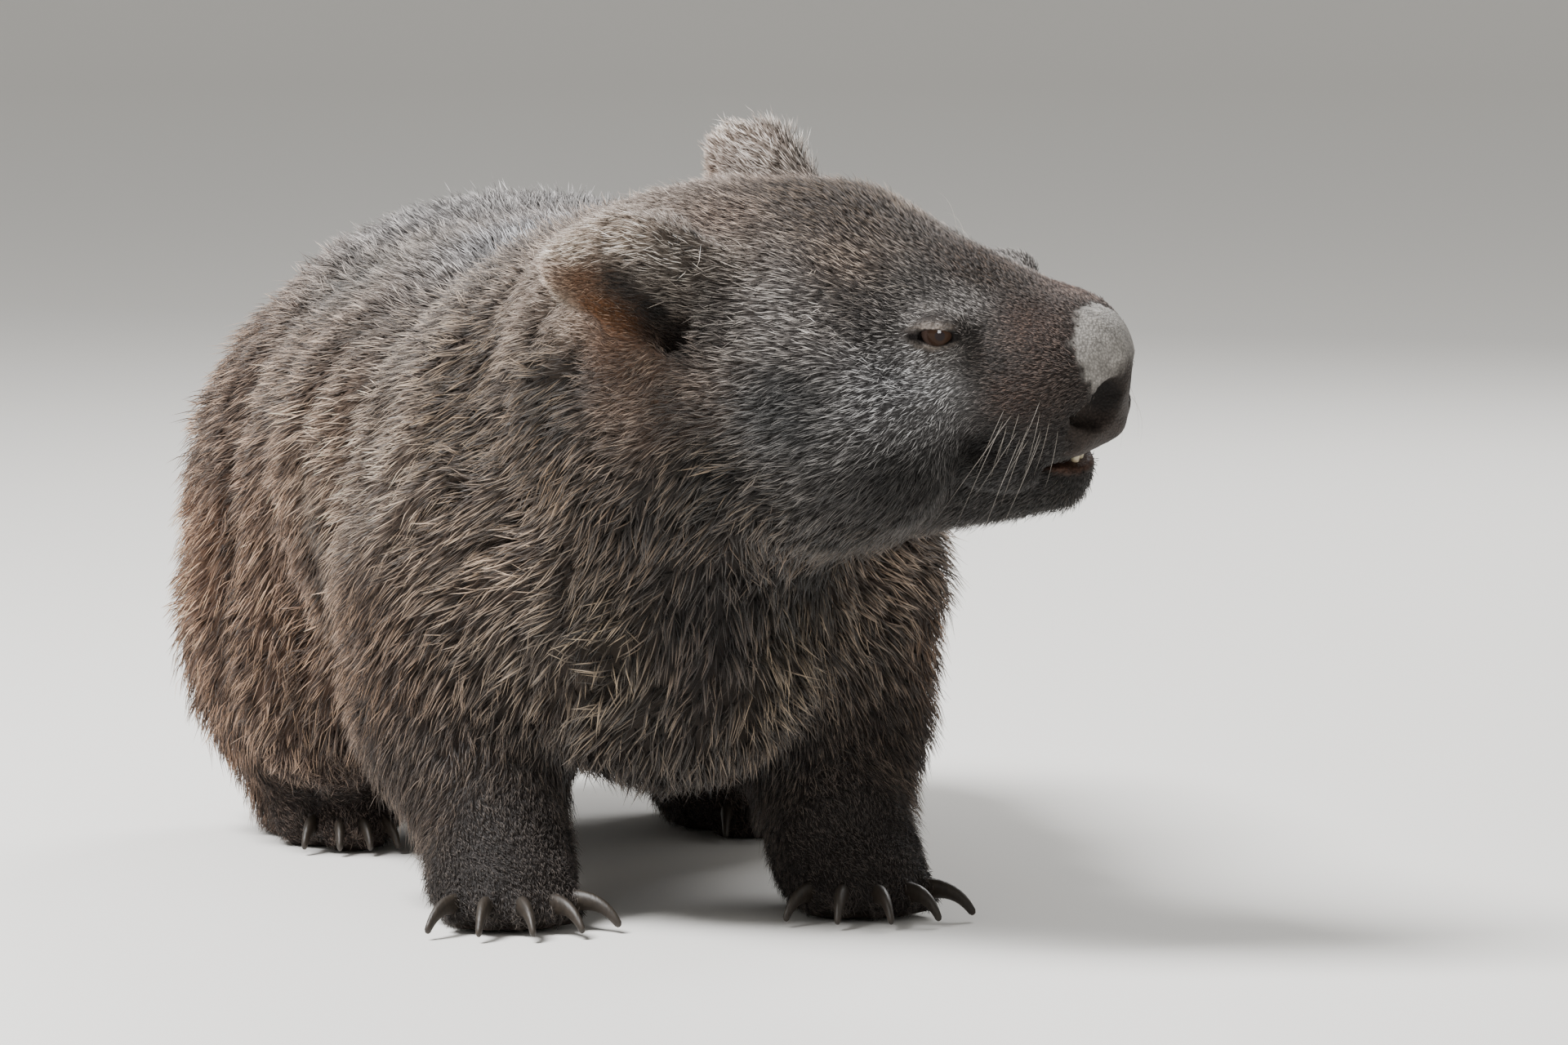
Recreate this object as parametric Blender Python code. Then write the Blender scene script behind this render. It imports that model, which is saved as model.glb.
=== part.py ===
"""A common wombat, life size, standing with its head turned to its left.

Metres, +Z up. The body faces -Y and its left side is +X. The flesh and coat are modelled whole, as
soft masses blended together, and then parted into the pieces that a person would name.
"""

import math
import random

import bmesh
import bpy
import numpy as np
import openvdb
from mathutils import Matrix, Vector
from mathutils.bvhtree import BVHTree

SIDES = {"right": -1, "left": 1}
RANDOM = random.Random(5)

# Driving sizes
GAP = 0.0003  # between pieces that meet
SHIFT = (-0.001, 0.032, 0.0)  # from the spine's own frame to the middle of the model's box

# Masses of the trunk: centre, half sizes
BARREL = ((0, 0.03, 0.194), (0.150, 0.215, 0.120))
RUMP = ((0, 0.160, 0.186), (0.153, 0.145, 0.132))
SHOULDERS = ((-0.004, -0.12, 0.196), (0.112, 0.120, 0.114))
BELLY = ((0, 0.04, 0.130), (0.120, 0.200, 0.078))
BREAST = ((-0.006, -0.19, 0.160), (0.084, 0.074, 0.102))
NECK = ((0, -0.14, 0.220), (-0.004, -0.235, 0.249))
NECK_RADII = (0.106, 0.088)
TAIL = ((0, 0.280, 0.160), (0, 0.316, 0.128))
TAIL_RADII = (0.020, 0.011)

# Joints of the limbs, with x counted outwards
SHOULDER, ELBOW, WRIST = (0.088, -0.125, 0.145), (0.087, -0.120, 0.092), (0.081, -0.168, 0.036)
HIP, KNEE, HEEL = (0.104, 0.155, 0.142), (0.106, 0.092, 0.082), (0.098, 0.178, 0.034)
FOREPAW = ((0.083, -0.190, 0.017), (0.034, 0.038, 0.024))
HINDPAW = ((0.100, 0.135, 0.017), (0.034, 0.060, 0.024))
FORETOES = (-52, -27, 0, 27, 52)  # degrees from straight ahead, from the inner toe outwards
HINDTOES = (-22, -4, 14, 34)
TOE_RADII = (0.0095, 0.0140, 0.0110)
CLAW_LENGTH = 0.024

# The head's own frame: its origin lies between the ears, and the nose points along -Y
HEAD_AT = (-0.008, -0.255, 0.306)
HEAD_YAW, HEAD_PITCH, HEAD_ROLL = 51.0, 0.0, -16.0
NOSE = ((0, -0.180, -0.047), (0.0265, 0.0240, 0.0255))
EYE, EYE_RADIUS = (0.0400, -0.1345, -0.0165), 0.0085
NOSTRIL = (0.0170, -0.198, -0.060)
MOUTH = -0.084  # height of the line of the mouth
EAR_BASE, EAR_AXIS, EAR_LENGTH = (0.059, -0.018, -0.001), (0.28, 0.48, 0.30), 0.054
JAW = ((0, -0.080, -0.096), (0, -0.165, -0.099))
INCISOR = (0.0026, -0.1765, -0.0835)

# Locks of longer coat: the node, the middle and reach of the patch, the way they lie (both with x
# counted outwards; on the head in its own frame), their length and how many
RUFFS = (
    ("head", (0.075, -0.055, -0.092), 0.050, (0.25, 0.75, -0.60), 0.026, 13),
    ("head", (0.045, -0.075, -0.120), 0.040, (0.10, 0.60, -0.80), 0.024, 6),
    ("neck", (0.110, -0.205, 0.215), 0.060, (0.20, 0.45, -0.85), 0.026, 9),
    ("torso", (0.050, -0.255, 0.150), 0.060, (0.10, -0.05, -1.00), 0.030, 10),
    ("torso", (0.125, 0.020, 0.100), 0.060, (0.10, 0.55, -0.80), 0.024, 7),
    ("hindleg", (0.160, 0.160, 0.090), 0.060, (0.10, 0.60, -0.75), 0.022, 6),
)
LOCK_WIDTHS, LOCK_FLAT, LOCK_APART, LOCK_CLEAR = (0.0042, 0.0016), 2.2, 0.015, 0.0095

# Colour and roughness of each kind of piece
COAT, DARK_COAT, GREY_COAT, TAN_COAT = ("6B5D52", 0.9), ("4A4039", 0.9), ("5E5A57", 0.9), ("8A6A4F", 0.9)
LEATHER, CORNEA, HORN, ENAMEL = ("77716B", 0.55), ("0D0A08", 0.08), ("3A332C", 0.45), ("D9CDB0", 0.3)
SURFACES = {
    "head": GREY_COAT, "lower_jaw": DARK_COAT, "nose_pad": LEATHER, "ear": TAN_COAT, "eye": CORNEA,
    "lower_incisors": ENAMEL, "neck": COAT, "torso": COAT, "tail": COAT, "foreleg": DARK_COAT,
    "hindleg": COAT, "forepaw": DARK_COAT, "hindpaw": DARK_COAT, "foreclaw": HORN, "hindclaw": HORN,
}

FLESH_STEP = 0.003
TRUNK_FACES, FLESH_FACES = 3400, 6450  # the face keeps the finer share


def turned(yaw=0.0, pitch=0.0, roll=0.0):
    """A turn about Z, then X, then Y, in degrees, as a 3 x 3 array."""
    turn = Matrix.Rotation(math.radians(yaw), 3, "Z")
    turn = turn @ Matrix.Rotation(math.radians(pitch), 3, "X")
    return np.array(turn @ Matrix.Rotation(math.radians(roll), 3, "Y"))


class Place:
    """A local frame: where it is, and how it is turned."""

    def __init__(self, at=(0, 0, 0), turn=None):
        self.at = np.array(at, float)
        self.turn = np.eye(3) if turn is None else np.array(turn, float)

    def point(self, local):
        return self.at + self.turn @ np.array(local, float)

    def way(self, local):
        found = self.turn @ np.array(local, float)
        return found / np.linalg.norm(found)


BODY = Place(SHIFT)
HEAD = Place(BODY.point(HEAD_AT), turned(HEAD_YAW, HEAD_PITCH, HEAD_ROLL))


class Clay:
    """The distance to a soft shape, sampled on a grid. Masses are added or cut away with a soft seam."""

    REACH = 0.02  # how far round a mass the grid is brought up to date

    def __init__(self, low, high, step):
        self.low, self.step = np.array(low, float), step
        size = np.ceil((np.array(high) - self.low) / step).astype(int) + 1
        self.far = np.full(size, 1.0, np.float32)

    def _around(self, low, high):
        first = np.clip(np.floor((low - self.low) / self.step).astype(int), 0, self.far.shape)
        last = np.clip(np.ceil((high - self.low) / self.step).astype(int) + 1, 0, self.far.shape)
        lines = [self.low[k] + self.step * np.arange(first[k], last[k]) for k in range(3)]
        spot = tuple(slice(first[k], last[k]) for k in range(3))
        return spot, np.stack(np.meshgrid(*lines, indexing="ij"), -1)

    def _melt(self, spot, distance, soft, cut):
        old = self.far[spot]
        if cut:
            share = np.clip(0.5 - 0.5 * (old + distance) / soft, 0, 1)
            new = old * (1 - share) - distance * share + soft * share * (1 - share)
        else:
            share = np.clip(0.5 + 0.5 * (old - distance) / soft, 0, 1)
            new = old * (1 - share) + distance * share - soft * share * (1 - share)
        self.far[spot] = new

    def egg(self, centre, radii, place=BODY, turn=None, soft=0.03, cut=False):
        """An ellipsoid with these half sizes along its place's axes."""
        axes = place.turn if turn is None else place.turn @ turn
        middle, radii = place.point(centre), np.array(radii, float)
        half = np.sqrt(((axes * radii) ** 2).sum(1)) + self.REACH + soft
        spot, points = self._around(middle - half, middle + half)
        local = (points - middle) @ axes
        near = np.sqrt(((local / radii) ** 2).sum(-1))
        steep = np.sqrt(((local / radii**2) ** 2).sum(-1)) + 1e-6
        self._melt(spot, near * (near - 1) / steep, soft, cut)

    def limb(self, start, end, radii, place=BODY, soft=0.03, flat=1.0, across=(1, 0, 0), cut=False):
        """A round-ended taper from start to end, whose width along across is flat times its height."""
        start, end = place.point(start), place.point(end)
        pad = max(radii) * max(1.0, flat) + self.REACH + soft
        spot, points = self._around(np.minimum(start, end) - pad, np.maximum(start, end) + pad)
        along, off = end - start, points - start
        share = np.clip(off @ along / (along @ along), 0, 1)
        off = off - share[..., None] * along
        side = place.way(across)
        off = off + (1 / flat - 1) * (off @ side)[..., None] * side
        radius = radii[0] + (radii[1] - radii[0]) * share
        self._melt(spot, np.sqrt((off**2).sum(-1)) - radius, soft, cut)

    def surface(self):
        grid = openvdb.FloatGrid(1.0)
        grid.copyFromArray(self.far)
        points, quads = grid.convertToQuads()
        return points * self.step + self.low, quads


def outwards(spot, side):
    """The same place on the right or left side."""
    return (spot[0] * side, spot[1], spot[2])


def toes(side, fore):
    """The middle of each toe, and the way it points, on one paw."""
    (x, y, _), (wide, deep, _) = FOREPAW if fore else HINDPAW
    for angle in FORETOES if fore else HINDTOES:
        lean = math.radians(angle)
        aim = (math.sin(lean) * side * 0.7, -math.cos(lean), 0)
        spread = (0.84 * wide * math.sin(lean), 0.88 * deep * math.cos(lean))
        yield ((x + spread[0]) * side, y - spread[1], 0.0115), aim


def shape_trunk(clay):
    for centre, radii in (BARREL, RUMP, SHOULDERS, BELLY, BREAST):
        clay.egg(centre, radii)
    clay.limb(*NECK, NECK_RADII)
    clay.limb(*TAIL, TAIL_RADII, soft=0.015)


def shape_paw(clay, side, fore):
    centre, radii = FOREPAW if fore else HINDPAW
    clay.egg(outwards(centre, side), radii, soft=0.015)
    for centre, aim in toes(side, fore):
        clay.egg(centre, TOE_RADII, turn=turned(math.degrees(math.atan2(aim[0], -aim[1]))), soft=0.004)


def shape_foreleg(clay, side):
    shoulder, elbow, wrist = (outwards(spot, side) for spot in (SHOULDER, ELBOW, WRIST))
    clay.egg((0.074 * side, -0.125, 0.172), (0.050, 0.078, 0.090))
    clay.limb(shoulder, elbow, (0.058, 0.050))
    clay.limb(elbow, wrist, (0.047, 0.036), soft=0.02)
    shape_paw(clay, side, True)


def shape_hindleg(clay, side):
    knee, heel = outwards(KNEE, side), outwards(HEEL, side)
    clay.egg(outwards(HIP, side), (0.060, 0.100, 0.104))
    clay.limb((0.106 * side, 0.130, 0.120), knee, (0.058, 0.048))
    clay.egg((0.108 * side, 0.165, 0.088), (0.056, 0.086, 0.062))
    clay.limb(knee, heel, (0.046, 0.034), soft=0.02)
    shape_paw(clay, side, False)


def shape_eye(clay, side):
    """A hollow beside the bridge of the nose, and the two lids round a narrow opening."""
    x, y, z = outwards(EYE, side)
    clay.egg((x + 0.0185 * side, y, z), (0.0125, 0.021, 0.015), HEAD, soft=0.014, cut=True)
    clay.egg((x, y, z), (0.0100, 0.0130, 0.0094), HEAD, soft=0.007)
    slant = turned(24 * side)
    clay.egg((x + 0.0085 * side, y - 0.001, z - 0.0004), (0.008, 0.0090, 0.0031), HEAD, slant, 0.001, True)


def shape_muzzle(clay):
    for side in SIDES.values():
        clay.egg((0.022 * side, -0.164, -0.044), (0.020, 0.031, 0.026), HEAD, soft=0.008)
        clay.egg((0.016 * side, -0.169, -0.069), (0.021, 0.0265, 0.0150), HEAD, soft=0.008)
    clay.egg((0, -0.180, -0.073), (0.019, 0.0185, 0.0120), HEAD, soft=0.006)
    clay.egg(*NOSE, HEAD, soft=0.013)
    clay.limb(*JAW, (0.034, 0.0145), HEAD, soft=0.010, flat=1.35)
    clay.egg((0, -0.166, -0.093), (0.018, 0.0155, 0.009), HEAD, soft=0.006)
    clay.egg((0, -0.190, MOUTH), (0.036, 0.040, 0.0030), HEAD, soft=0.002, cut=True)
    clay.egg((0, -0.201, MOUTH - 0.001), (0.026, 0.030, 0.0065), HEAD, soft=0.003, cut=True)
    clay.limb((0, -0.210, -0.040), (0, -0.207, -0.078), (0.0012, 0.0022), HEAD, soft=0.004, cut=True)
    for side in SIDES.values():
        turn = turned(-38 * side, 0, 28 * side)
        clay.egg(outwards(NOSTRIL, side), (0.0068, 0.0145, 0.0072), HEAD, turn, 0.003, True)
        clay.limb((0.018 * side, -0.198, -0.060), (0.034 * side, -0.176, -0.057), (0.004, 0.002), HEAD,
                  soft=0.004, cut=True)


def shape_head(clay):
    clay.egg((0, -0.035, -0.037), (0.072, 0.083, 0.072), HEAD, soft=0.02)
    clay.limb((0, -0.070, -0.020), (0, -0.163, -0.046), (0.051, 0.0355), HEAD, soft=0.02, flat=1.15)
    clay.egg((0, -0.040, -0.095), (0.062, 0.072, 0.043), HEAD, soft=0.02)
    for side in SIDES.values():
        clay.egg((0.046 * side, -0.075, -0.065), (0.040, 0.063, 0.053), HEAD, soft=0.02)
    shape_muzzle(clay)
    for side in SIDES.values():
        shape_eye(clay, side)


def ear_place(side):
    """The ear's own frame: +Z runs to its tip, and its cup opens along +Y, outwards and forwards."""
    tip = np.array(outwards(EAR_AXIS, side))
    tip /= np.linalg.norm(tip)
    opening = np.array((0.93 * side, -0.36, 0.0))
    opening -= (opening @ tip) * tip
    opening /= np.linalg.norm(opening)
    turn = np.stack([np.cross(opening, tip), opening, tip], 1)
    return Place(HEAD.point(outwards(EAR_BASE, side)), HEAD.turn @ turn)


def shape_ear(clay, side):
    place = ear_place(side)
    clay.limb((0, 0, -0.012), (0, 0, 0.60 * EAR_LENGTH), (0.033, 0.019), place, soft=0.012, flat=0.40,
              across=(0, 1, 0))
    clay.egg((0, 0, 0.73 * EAR_LENGTH), (0.0160, 0.0085, 0.019), place, soft=0.008)
    clay.egg((0.024 * side, 0.001, 0.012), (0.014, 0.011, 0.024), place, soft=0.010)
    clay.egg((0, 0.013, 0.40 * EAR_LENGTH), (0.0215, 0.0125, 0.031), place, soft=0.003, cut=True)
    clay.egg((0.012 * side, -0.004, 0.027), (0.018, 0.0045, 0.022), place, soft=0.006)


def shape_all(clay):
    shape_trunk(clay)
    for side in SIDES.values():
        shape_foreleg(clay, side)
        shape_hindleg(clay, side)
    shape_head(clay)
    for side in SIDES.values():
        shape_ear(clay, side)


def add_object(name, mesh):
    made = bpy.data.objects.new(name, mesh)
    bpy.data.collections["Wombat"].objects.link(made)
    return made


def solid_from(points, faces, name):
    mesh = bpy.data.meshes.new(name)
    mesh.from_pydata([tuple(point) for point in points], [], [tuple(face) for face in faces])
    return add_object(name, mesh)


def remove(thing):
    mesh = thing.data
    bpy.data.objects.remove(thing)
    bpy.data.meshes.remove(mesh)


def apply_all(thing):
    """Replaces the mesh by what its modifiers make of it."""
    graph = bpy.context.evaluated_depsgraph_get()
    made = bpy.data.meshes.new_from_object(thing.evaluated_get(graph))
    old = thing.data
    thing.modifiers.clear()
    thing.data = made
    bpy.data.meshes.remove(old)


def combine(thing, other, operation):
    step = thing.modifiers.new("combine", "BOOLEAN")
    step.operation, step.solver, step.object = operation, "MANIFOLD", other
    apply_all(thing)


def keep_largest(thing):
    """Drops every loose closed surface but the one with the most faces."""
    shape = bmesh.new()
    shape.from_mesh(thing.data)
    left, groups = set(shape.verts), []
    while left:
        group, edge = set(), [left.pop()]
        while edge:
            corner = edge.pop()
            group.add(corner)
            near = {line.other_vert(corner) for line in corner.link_edges} & left
            left -= near
            edge.extend(near)
        groups.append(group)
    groups.sort(key=len)
    for group in groups[:-1]:
        bmesh.ops.delete(shape, geom=list(group), context="VERTS")
    shape.to_mesh(thing.data)
    shape.free()


def closed(shape, name):
    """The finished shape as an object, its faces turned outwards."""
    if shape.calc_volume(signed=True) < 0:
        bmesh.ops.reverse_faces(shape, faces=shape.faces)
    mesh = bpy.data.meshes.new(name)
    shape.to_mesh(mesh)
    shape.free()
    return add_object(name, mesh)


def ball(centre, radii, place=BODY, detail=2, grown=0.0):
    """A ball stretched to these half sizes, as a closed solid."""
    shape = bmesh.new()
    bmesh.ops.create_icosphere(shape, subdivisions=detail, radius=1.0)
    for corner in shape.verts:
        local = [centre[k] + corner.co[k] * (radii[k] + grown) for k in range(3)]
        corner.co = place.point(local)
    return closed(shape, "ball")


def block(centre, half, place=BODY, grown=0.0):
    shape = bmesh.new()
    bmesh.ops.create_cube(shape, size=2.0)
    for corner in shape.verts:
        corner.co = place.point([centre[k] + corner.co[k] * (half[k] + grown) for k in range(3)])
    return closed(shape, "block")


def part_off(whole, name, make, *sizes):
    """Cuts the region that make builds from sizes out of the whole, as a piece of its own."""
    region, grown = make(*sizes), make(*sizes, grown=GAP)
    piece = add_object(name, whole.data.copy())
    combine(piece, region, "INTERSECT")
    keep_largest(piece)
    combine(whole, grown, "DIFFERENCE")
    remove(region)
    remove(grown)
    return piece


def sink(whole, name, make, *sizes):
    """Adds a solid of its own, and its socket in the whole."""
    piece, grown = make(*sizes), make(*sizes, grown=GAP)
    piece.name = piece.data.name = name
    combine(whole, grown, "DIFFERENCE")
    remove(grown)
    return piece


def horn(path, widths, flat, across, rings=5, sides=6, grown=0.0):
    """A tapered, pointed solid that follows a bent path of three places, as a closed surface."""
    start, bend, end = (Vector(spot) for spot in path)
    across = Vector(across).normalized()
    shape = bmesh.new()
    bmesh.ops.create_uvsphere(shape, u_segments=sides, v_segments=rings, radius=1.0)
    for corner in shape.verts:
        share = (1 - corner.co.z) / 2
        middle = start * (1 - share) ** 2 + bend * 2 * share * (1 - share) + end * share**2
        along = ((bend - start) * (1 - share) + (end - bend) * share).normalized()
        up = along.cross(across).normalized()
        side = up.cross(along)
        round_off = max(1e-6, math.hypot(corner.co.x, corner.co.y))
        width = widths[0] + (widths[1] - widths[0]) * share
        width = (width if 0.02 < share < 0.98 else 0.0) + grown
        spread = (side * corner.co.x * flat + up * corner.co.y) / round_off
        ends = along * grown * (-1 if share < 0.02 else 1 if share > 0.98 else 0)
        corner.co = middle + spread * width * (round_off > 0.01) + ends
    return closed(shape, "horn")


def thin_out(thing, faces, kept=""):
    """Merges faces down to this number of triangles, outside the vertex group that is kept."""
    step = thing.modifiers.new("thin", "DECIMATE")
    step.ratio = faces / sum(len(face.vertices) - 2 for face in thing.data.polygons)
    step.vertex_group, step.invert_vertex_group = kept, True
    step.use_collapse_triangulate = True
    apply_all(thing)


def make_flesh():
    clay = Clay((-0.27, -0.45, -0.02), (0.22, 0.42, 0.40), FLESH_STEP)
    shape_all(clay)
    flesh = solid_from(*clay.surface(), "torso")
    middle = Vector(HEAD.point((0, -0.120, -0.040)))
    face = [v.index for v in flesh.data.vertices if (v.co - middle).length < 0.110]
    flesh.vertex_groups.new(name="face").add(face, 1.0, "REPLACE")
    thin_out(flesh, 2 * len(face) + TRUNK_FACES, "face")
    thin_out(flesh, FLESH_FACES)
    flesh.vertex_groups.clear()
    floor = block((0, 0, -0.05), (1, 1, 0.05))
    combine(flesh, floor, "DIFFERENCE")
    remove(floor)
    keep_largest(flesh)
    return flesh


def part_head(flesh):
    """Parts the whole head from the neck, and then each of its pieces from the head."""
    for name, side in SIDES.items():
        part_off(flesh, f"ear_{name}", ball, (0, 0, 0.047), (0.036, 0.022, 0.038), ear_place(side))
    head = part_off(flesh, "head", ball, (0, -0.085, -0.040), (0.118, 0.142, 0.122), HEAD, 3)
    part_off(head, "nose_pad", ball, (0, -0.212, -0.031), (0.044, 0.050, 0.041), HEAD)
    jaw = part_off(head, "lower_jaw", block, (0, -0.180, MOUTH - 0.040), (0.060, 0.058, 0.040), HEAD)
    root, tip = (INCISOR[0], INCISOR[1] + 0.010, INCISOR[2] - 0.016), INCISOR
    path = [HEAD.point(root), HEAD.point((0, root[1] - 0.008, root[2] + 0.004)), HEAD.point(tip)]
    sink(jaw, "lower_incisors", horn, path, (0.0042, 0.0030), 1.2, HEAD.way((1, 0, 0)))
    for name, side in SIDES.items():
        sink(head, f"eye_{name}", ball, outwards(EYE, side), (EYE_RADIUS,) * 3, HEAD)


def add_claws(paw, name, side, fore):
    for number, (centre, aim) in enumerate(toes(side, fore), 1):
        middle, aim = BODY.point(centre), np.array(aim) / np.linalg.norm(aim)
        length = CLAW_LENGTH if fore else 0.75 * CLAW_LENGTH
        root = middle + aim * 0.004 + np.array((0, 0, 0.0010))
        bend = middle + aim * (0.010 + 0.55 * length) + np.array((0, 0, 0.0055))
        tip = middle + aim * (0.009 + length) + np.array((0, 0, -0.0085))
        across = np.cross(aim, (0, 0, 1))
        sink(paw, f"{name}_{number}", horn, (root, bend, tip), (0.0052, 0.0026), 0.75, across)


def part_limbs(flesh):
    for name, side in SIDES.items():
        leg = part_off(flesh, f"foreleg_{name}", ball, (0.105 * side, -0.150, 0.060), (0.070, 0.108, 0.098))
        paw = part_off(leg, f"forepaw_{name}", block, (0.085 * side, -0.190, 0.0), (0.080, 0.080, 0.040))
        add_claws(paw, f"foreclaw_{name}", side, True)
        leg = part_off(flesh, f"hindleg_{name}", ball, (0.118 * side, 0.145, 0.065), (0.078, 0.128, 0.122))
        paw = part_off(leg, f"hindpaw_{name}", block, (0.100 * side, 0.140, 0.0), (0.080, 0.120, 0.042))
        add_claws(paw, f"hindclaw_{name}", side, False)


def tree_of(thing):
    spots = [corner.co for corner in thing.data.vertices]
    return BVHTree.FromPolygons(spots, [face.vertices for face in thing.data.polygons])


def lock_path(root, normal, lie, length):
    """From well under the surface, out of it, and down along the lie of the coat."""
    along = (lie - lie.dot(normal) * normal).normalized()
    start = root - 0.007 * normal - 0.003 * along
    return start, root + 0.42 * length * along + 0.006 * normal, root + length * along + 0.0035 * normal


def add_locks(thing, middle, reach, lie, length, count, others):
    """Scatters locks over a patch of a piece, apart from each other and clear of the other pieces."""
    faces = [face for face in thing.data.polygons if (face.center - middle).length < reach]
    RANDOM.shuffle(faces)
    taken, locks = [], []
    for face in faces:
        if len(taken) == count:
            break
        if any((face.center - other).length < LOCK_APART for other in taken):
            continue
        sway = Vector([RANDOM.uniform(-0.25, 0.25) for _ in range(3)])
        reach = length * RANDOM.uniform(0.8, 1.2)
        path = lock_path(face.center, face.normal, (lie + sway).normalized(), reach)
        if any(tree.find_nearest(spot)[3] < LOCK_CLEAR for tree in others for spot in (face.center, *path)):
            continue
        across = (path[2] - path[1]).cross(face.normal)
        locks.append(horn(path, LOCK_WIDTHS, LOCK_FLAT, across, 4, 5))
        taken.append(face.center)
    return locks


def add_ruffs():
    """Joins the locks of each patch to the piece that they grow from."""
    pieces = bpy.data.collections["Wombat"].objects
    trees = {thing: tree_of(thing) for thing in pieces}
    grown = {}
    for kind, middle, reach, lie, length, count in RUFFS:
        for name, side in SIDES.items():
            thing = pieces.get(kind) or pieces[f"{kind}_{name}"]
            place = HEAD if kind == "head" else BODY
            others = [tree for other, tree in trees.items() if other != thing]
            spot, way = Vector(place.point(outwards(middle, side))), Vector(place.way(outwards(lie, side)))
            grown.setdefault(thing, []).extend(add_locks(thing, spot, reach, way, length, count, others))
    for thing, locks in grown.items():
        for lock in locks:
            combine(thing, lock, "UNION")
            remove(lock)
        keep_largest(thing)


def colour_of(code):
    """The linear colour of an sRGB hex code."""
    levels = [int(code[k:k + 2], 16) / 255 for k in (0, 2, 4)]
    return [level / 12.92 if level < 0.04045 else ((level + 0.055) / 1.055) ** 2.4 for level in levels]


def add_surfaces():
    for thing in bpy.data.collections["Wombat"].objects:
        kind = next(kind for kind in SURFACES if thing.name.startswith(kind))
        code, roughness = SURFACES[kind]
        surface = bpy.data.materials.new(thing.name)
        surface.use_nodes = True
        shader = surface.node_tree.nodes["Principled BSDF"]
        shader.inputs["Base Color"].default_value = (*colour_of(code), 1)
        shader.inputs["Roughness"].default_value = roughness
        thing.data.materials.clear()
        thing.data.materials.append(surface)


def main():
    for thing in list(bpy.data.objects):
        bpy.data.objects.remove(thing)
    bpy.context.scene.collection.children.link(bpy.data.collections.new("Wombat"))
    flesh = make_flesh()
    part_head(flesh)
    part_off(flesh, "tail", ball, (0, 0.327, 0.128), (0.034, 0.034, 0.040))
    part_limbs(flesh)
    part_off(flesh, "neck", ball, (0, -0.225, 0.262), (0.150, 0.105, 0.120))
    keep_largest(flesh)
    add_ruffs()
    add_surfaces()


main()
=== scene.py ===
"""The coat, skin, face and claws of a life-size wombat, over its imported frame."""

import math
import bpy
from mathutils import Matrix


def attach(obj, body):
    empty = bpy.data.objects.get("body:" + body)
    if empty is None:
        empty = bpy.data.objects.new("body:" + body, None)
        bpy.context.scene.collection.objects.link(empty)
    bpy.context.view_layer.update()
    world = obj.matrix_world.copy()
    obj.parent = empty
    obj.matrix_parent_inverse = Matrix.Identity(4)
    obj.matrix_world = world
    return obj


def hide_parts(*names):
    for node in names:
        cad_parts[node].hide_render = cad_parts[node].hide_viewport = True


bl_info = {
    "name": "Wombat",
    "version": (1, 0, 0),
    "blender": (4, 5, 0),
    "location": "3D View > Sidebar > Wombat",
    "description": "A life-size standing wombat with a coarse coat",
    "category": "Object",
}

import bmesh
import bpy
import numpy as np
import openvdb
from bpy.props import FloatProperty, FloatVectorProperty, IntProperty, PointerProperty
from mathutils import Matrix, Vector

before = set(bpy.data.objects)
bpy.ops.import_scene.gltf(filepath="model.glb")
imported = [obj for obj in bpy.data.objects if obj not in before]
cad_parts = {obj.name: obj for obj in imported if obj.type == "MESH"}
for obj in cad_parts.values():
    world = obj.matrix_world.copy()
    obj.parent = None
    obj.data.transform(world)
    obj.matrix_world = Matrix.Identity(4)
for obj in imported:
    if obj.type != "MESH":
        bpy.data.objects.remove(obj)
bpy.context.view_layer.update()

SIDES = {"right": -1, "left": 1}

# Driving sizes
SHIFT = (-0.001, 0.032, 0.0)  # from the spine's own frame to the middle of the model's box

# Masses of the trunk: centre, half sizes
BARREL = ((0, 0.03, 0.194), (0.150, 0.215, 0.120))
RUMP = ((0, 0.160, 0.186), (0.153, 0.145, 0.132))
SHOULDERS = ((-0.004, -0.12, 0.196), (0.112, 0.120, 0.114))
BELLY = ((0, 0.04, 0.130), (0.120, 0.200, 0.078))
BREAST = ((-0.006, -0.19, 0.160), (0.084, 0.074, 0.102))
NECK = ((0, -0.14, 0.220), (-0.004, -0.235, 0.249))
NECK_RADII = (0.106, 0.088)
TAIL = ((0, 0.280, 0.160), (0, 0.316, 0.128))
TAIL_RADII = (0.020, 0.011)

# Joints of the limbs, with x counted outwards
SHOULDER, ELBOW, WRIST = (0.088, -0.125, 0.145), (0.087, -0.120, 0.092), (0.081, -0.168, 0.036)
HIP, KNEE, HEEL = (0.104, 0.155, 0.142), (0.106, 0.092, 0.082), (0.098, 0.178, 0.034)
FOREPAW = ((0.083, -0.190, 0.017), (0.034, 0.038, 0.024))
HINDPAW = ((0.100, 0.135, 0.017), (0.034, 0.060, 0.024))
FORETOES = (-52, -27, 0, 27, 52)  # degrees from straight ahead, from the inner toe outwards
HINDTOES = (-22, -4, 14, 34)
TOE_RADII = (0.0095, 0.0140, 0.0110)
CLAW_LENGTH = 0.024

# The head's own frame: its origin lies between the ears, and the nose points along -Y
HEAD_AT = (-0.008, -0.255, 0.306)
HEAD_YAW, HEAD_PITCH, HEAD_ROLL = 51.0, 0.0, -16.0
NOSE = ((0, -0.180, -0.047), (0.0265, 0.0240, 0.0255))
EYE, EYE_RADIUS = (0.0400, -0.1345, -0.0165), 0.0085
NOSTRIL = (0.0170, -0.198, -0.060)
MOUTH = -0.084  # height of the line of the mouth
EAR_BASE, EAR_AXIS, EAR_LENGTH = (0.059, -0.018, -0.001), (0.28, 0.48, 0.30), 0.054
JAW = ((0, -0.080, -0.096), (0, -0.165, -0.099))
INCISOR = (0.0026, -0.1765, -0.0835)


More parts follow.
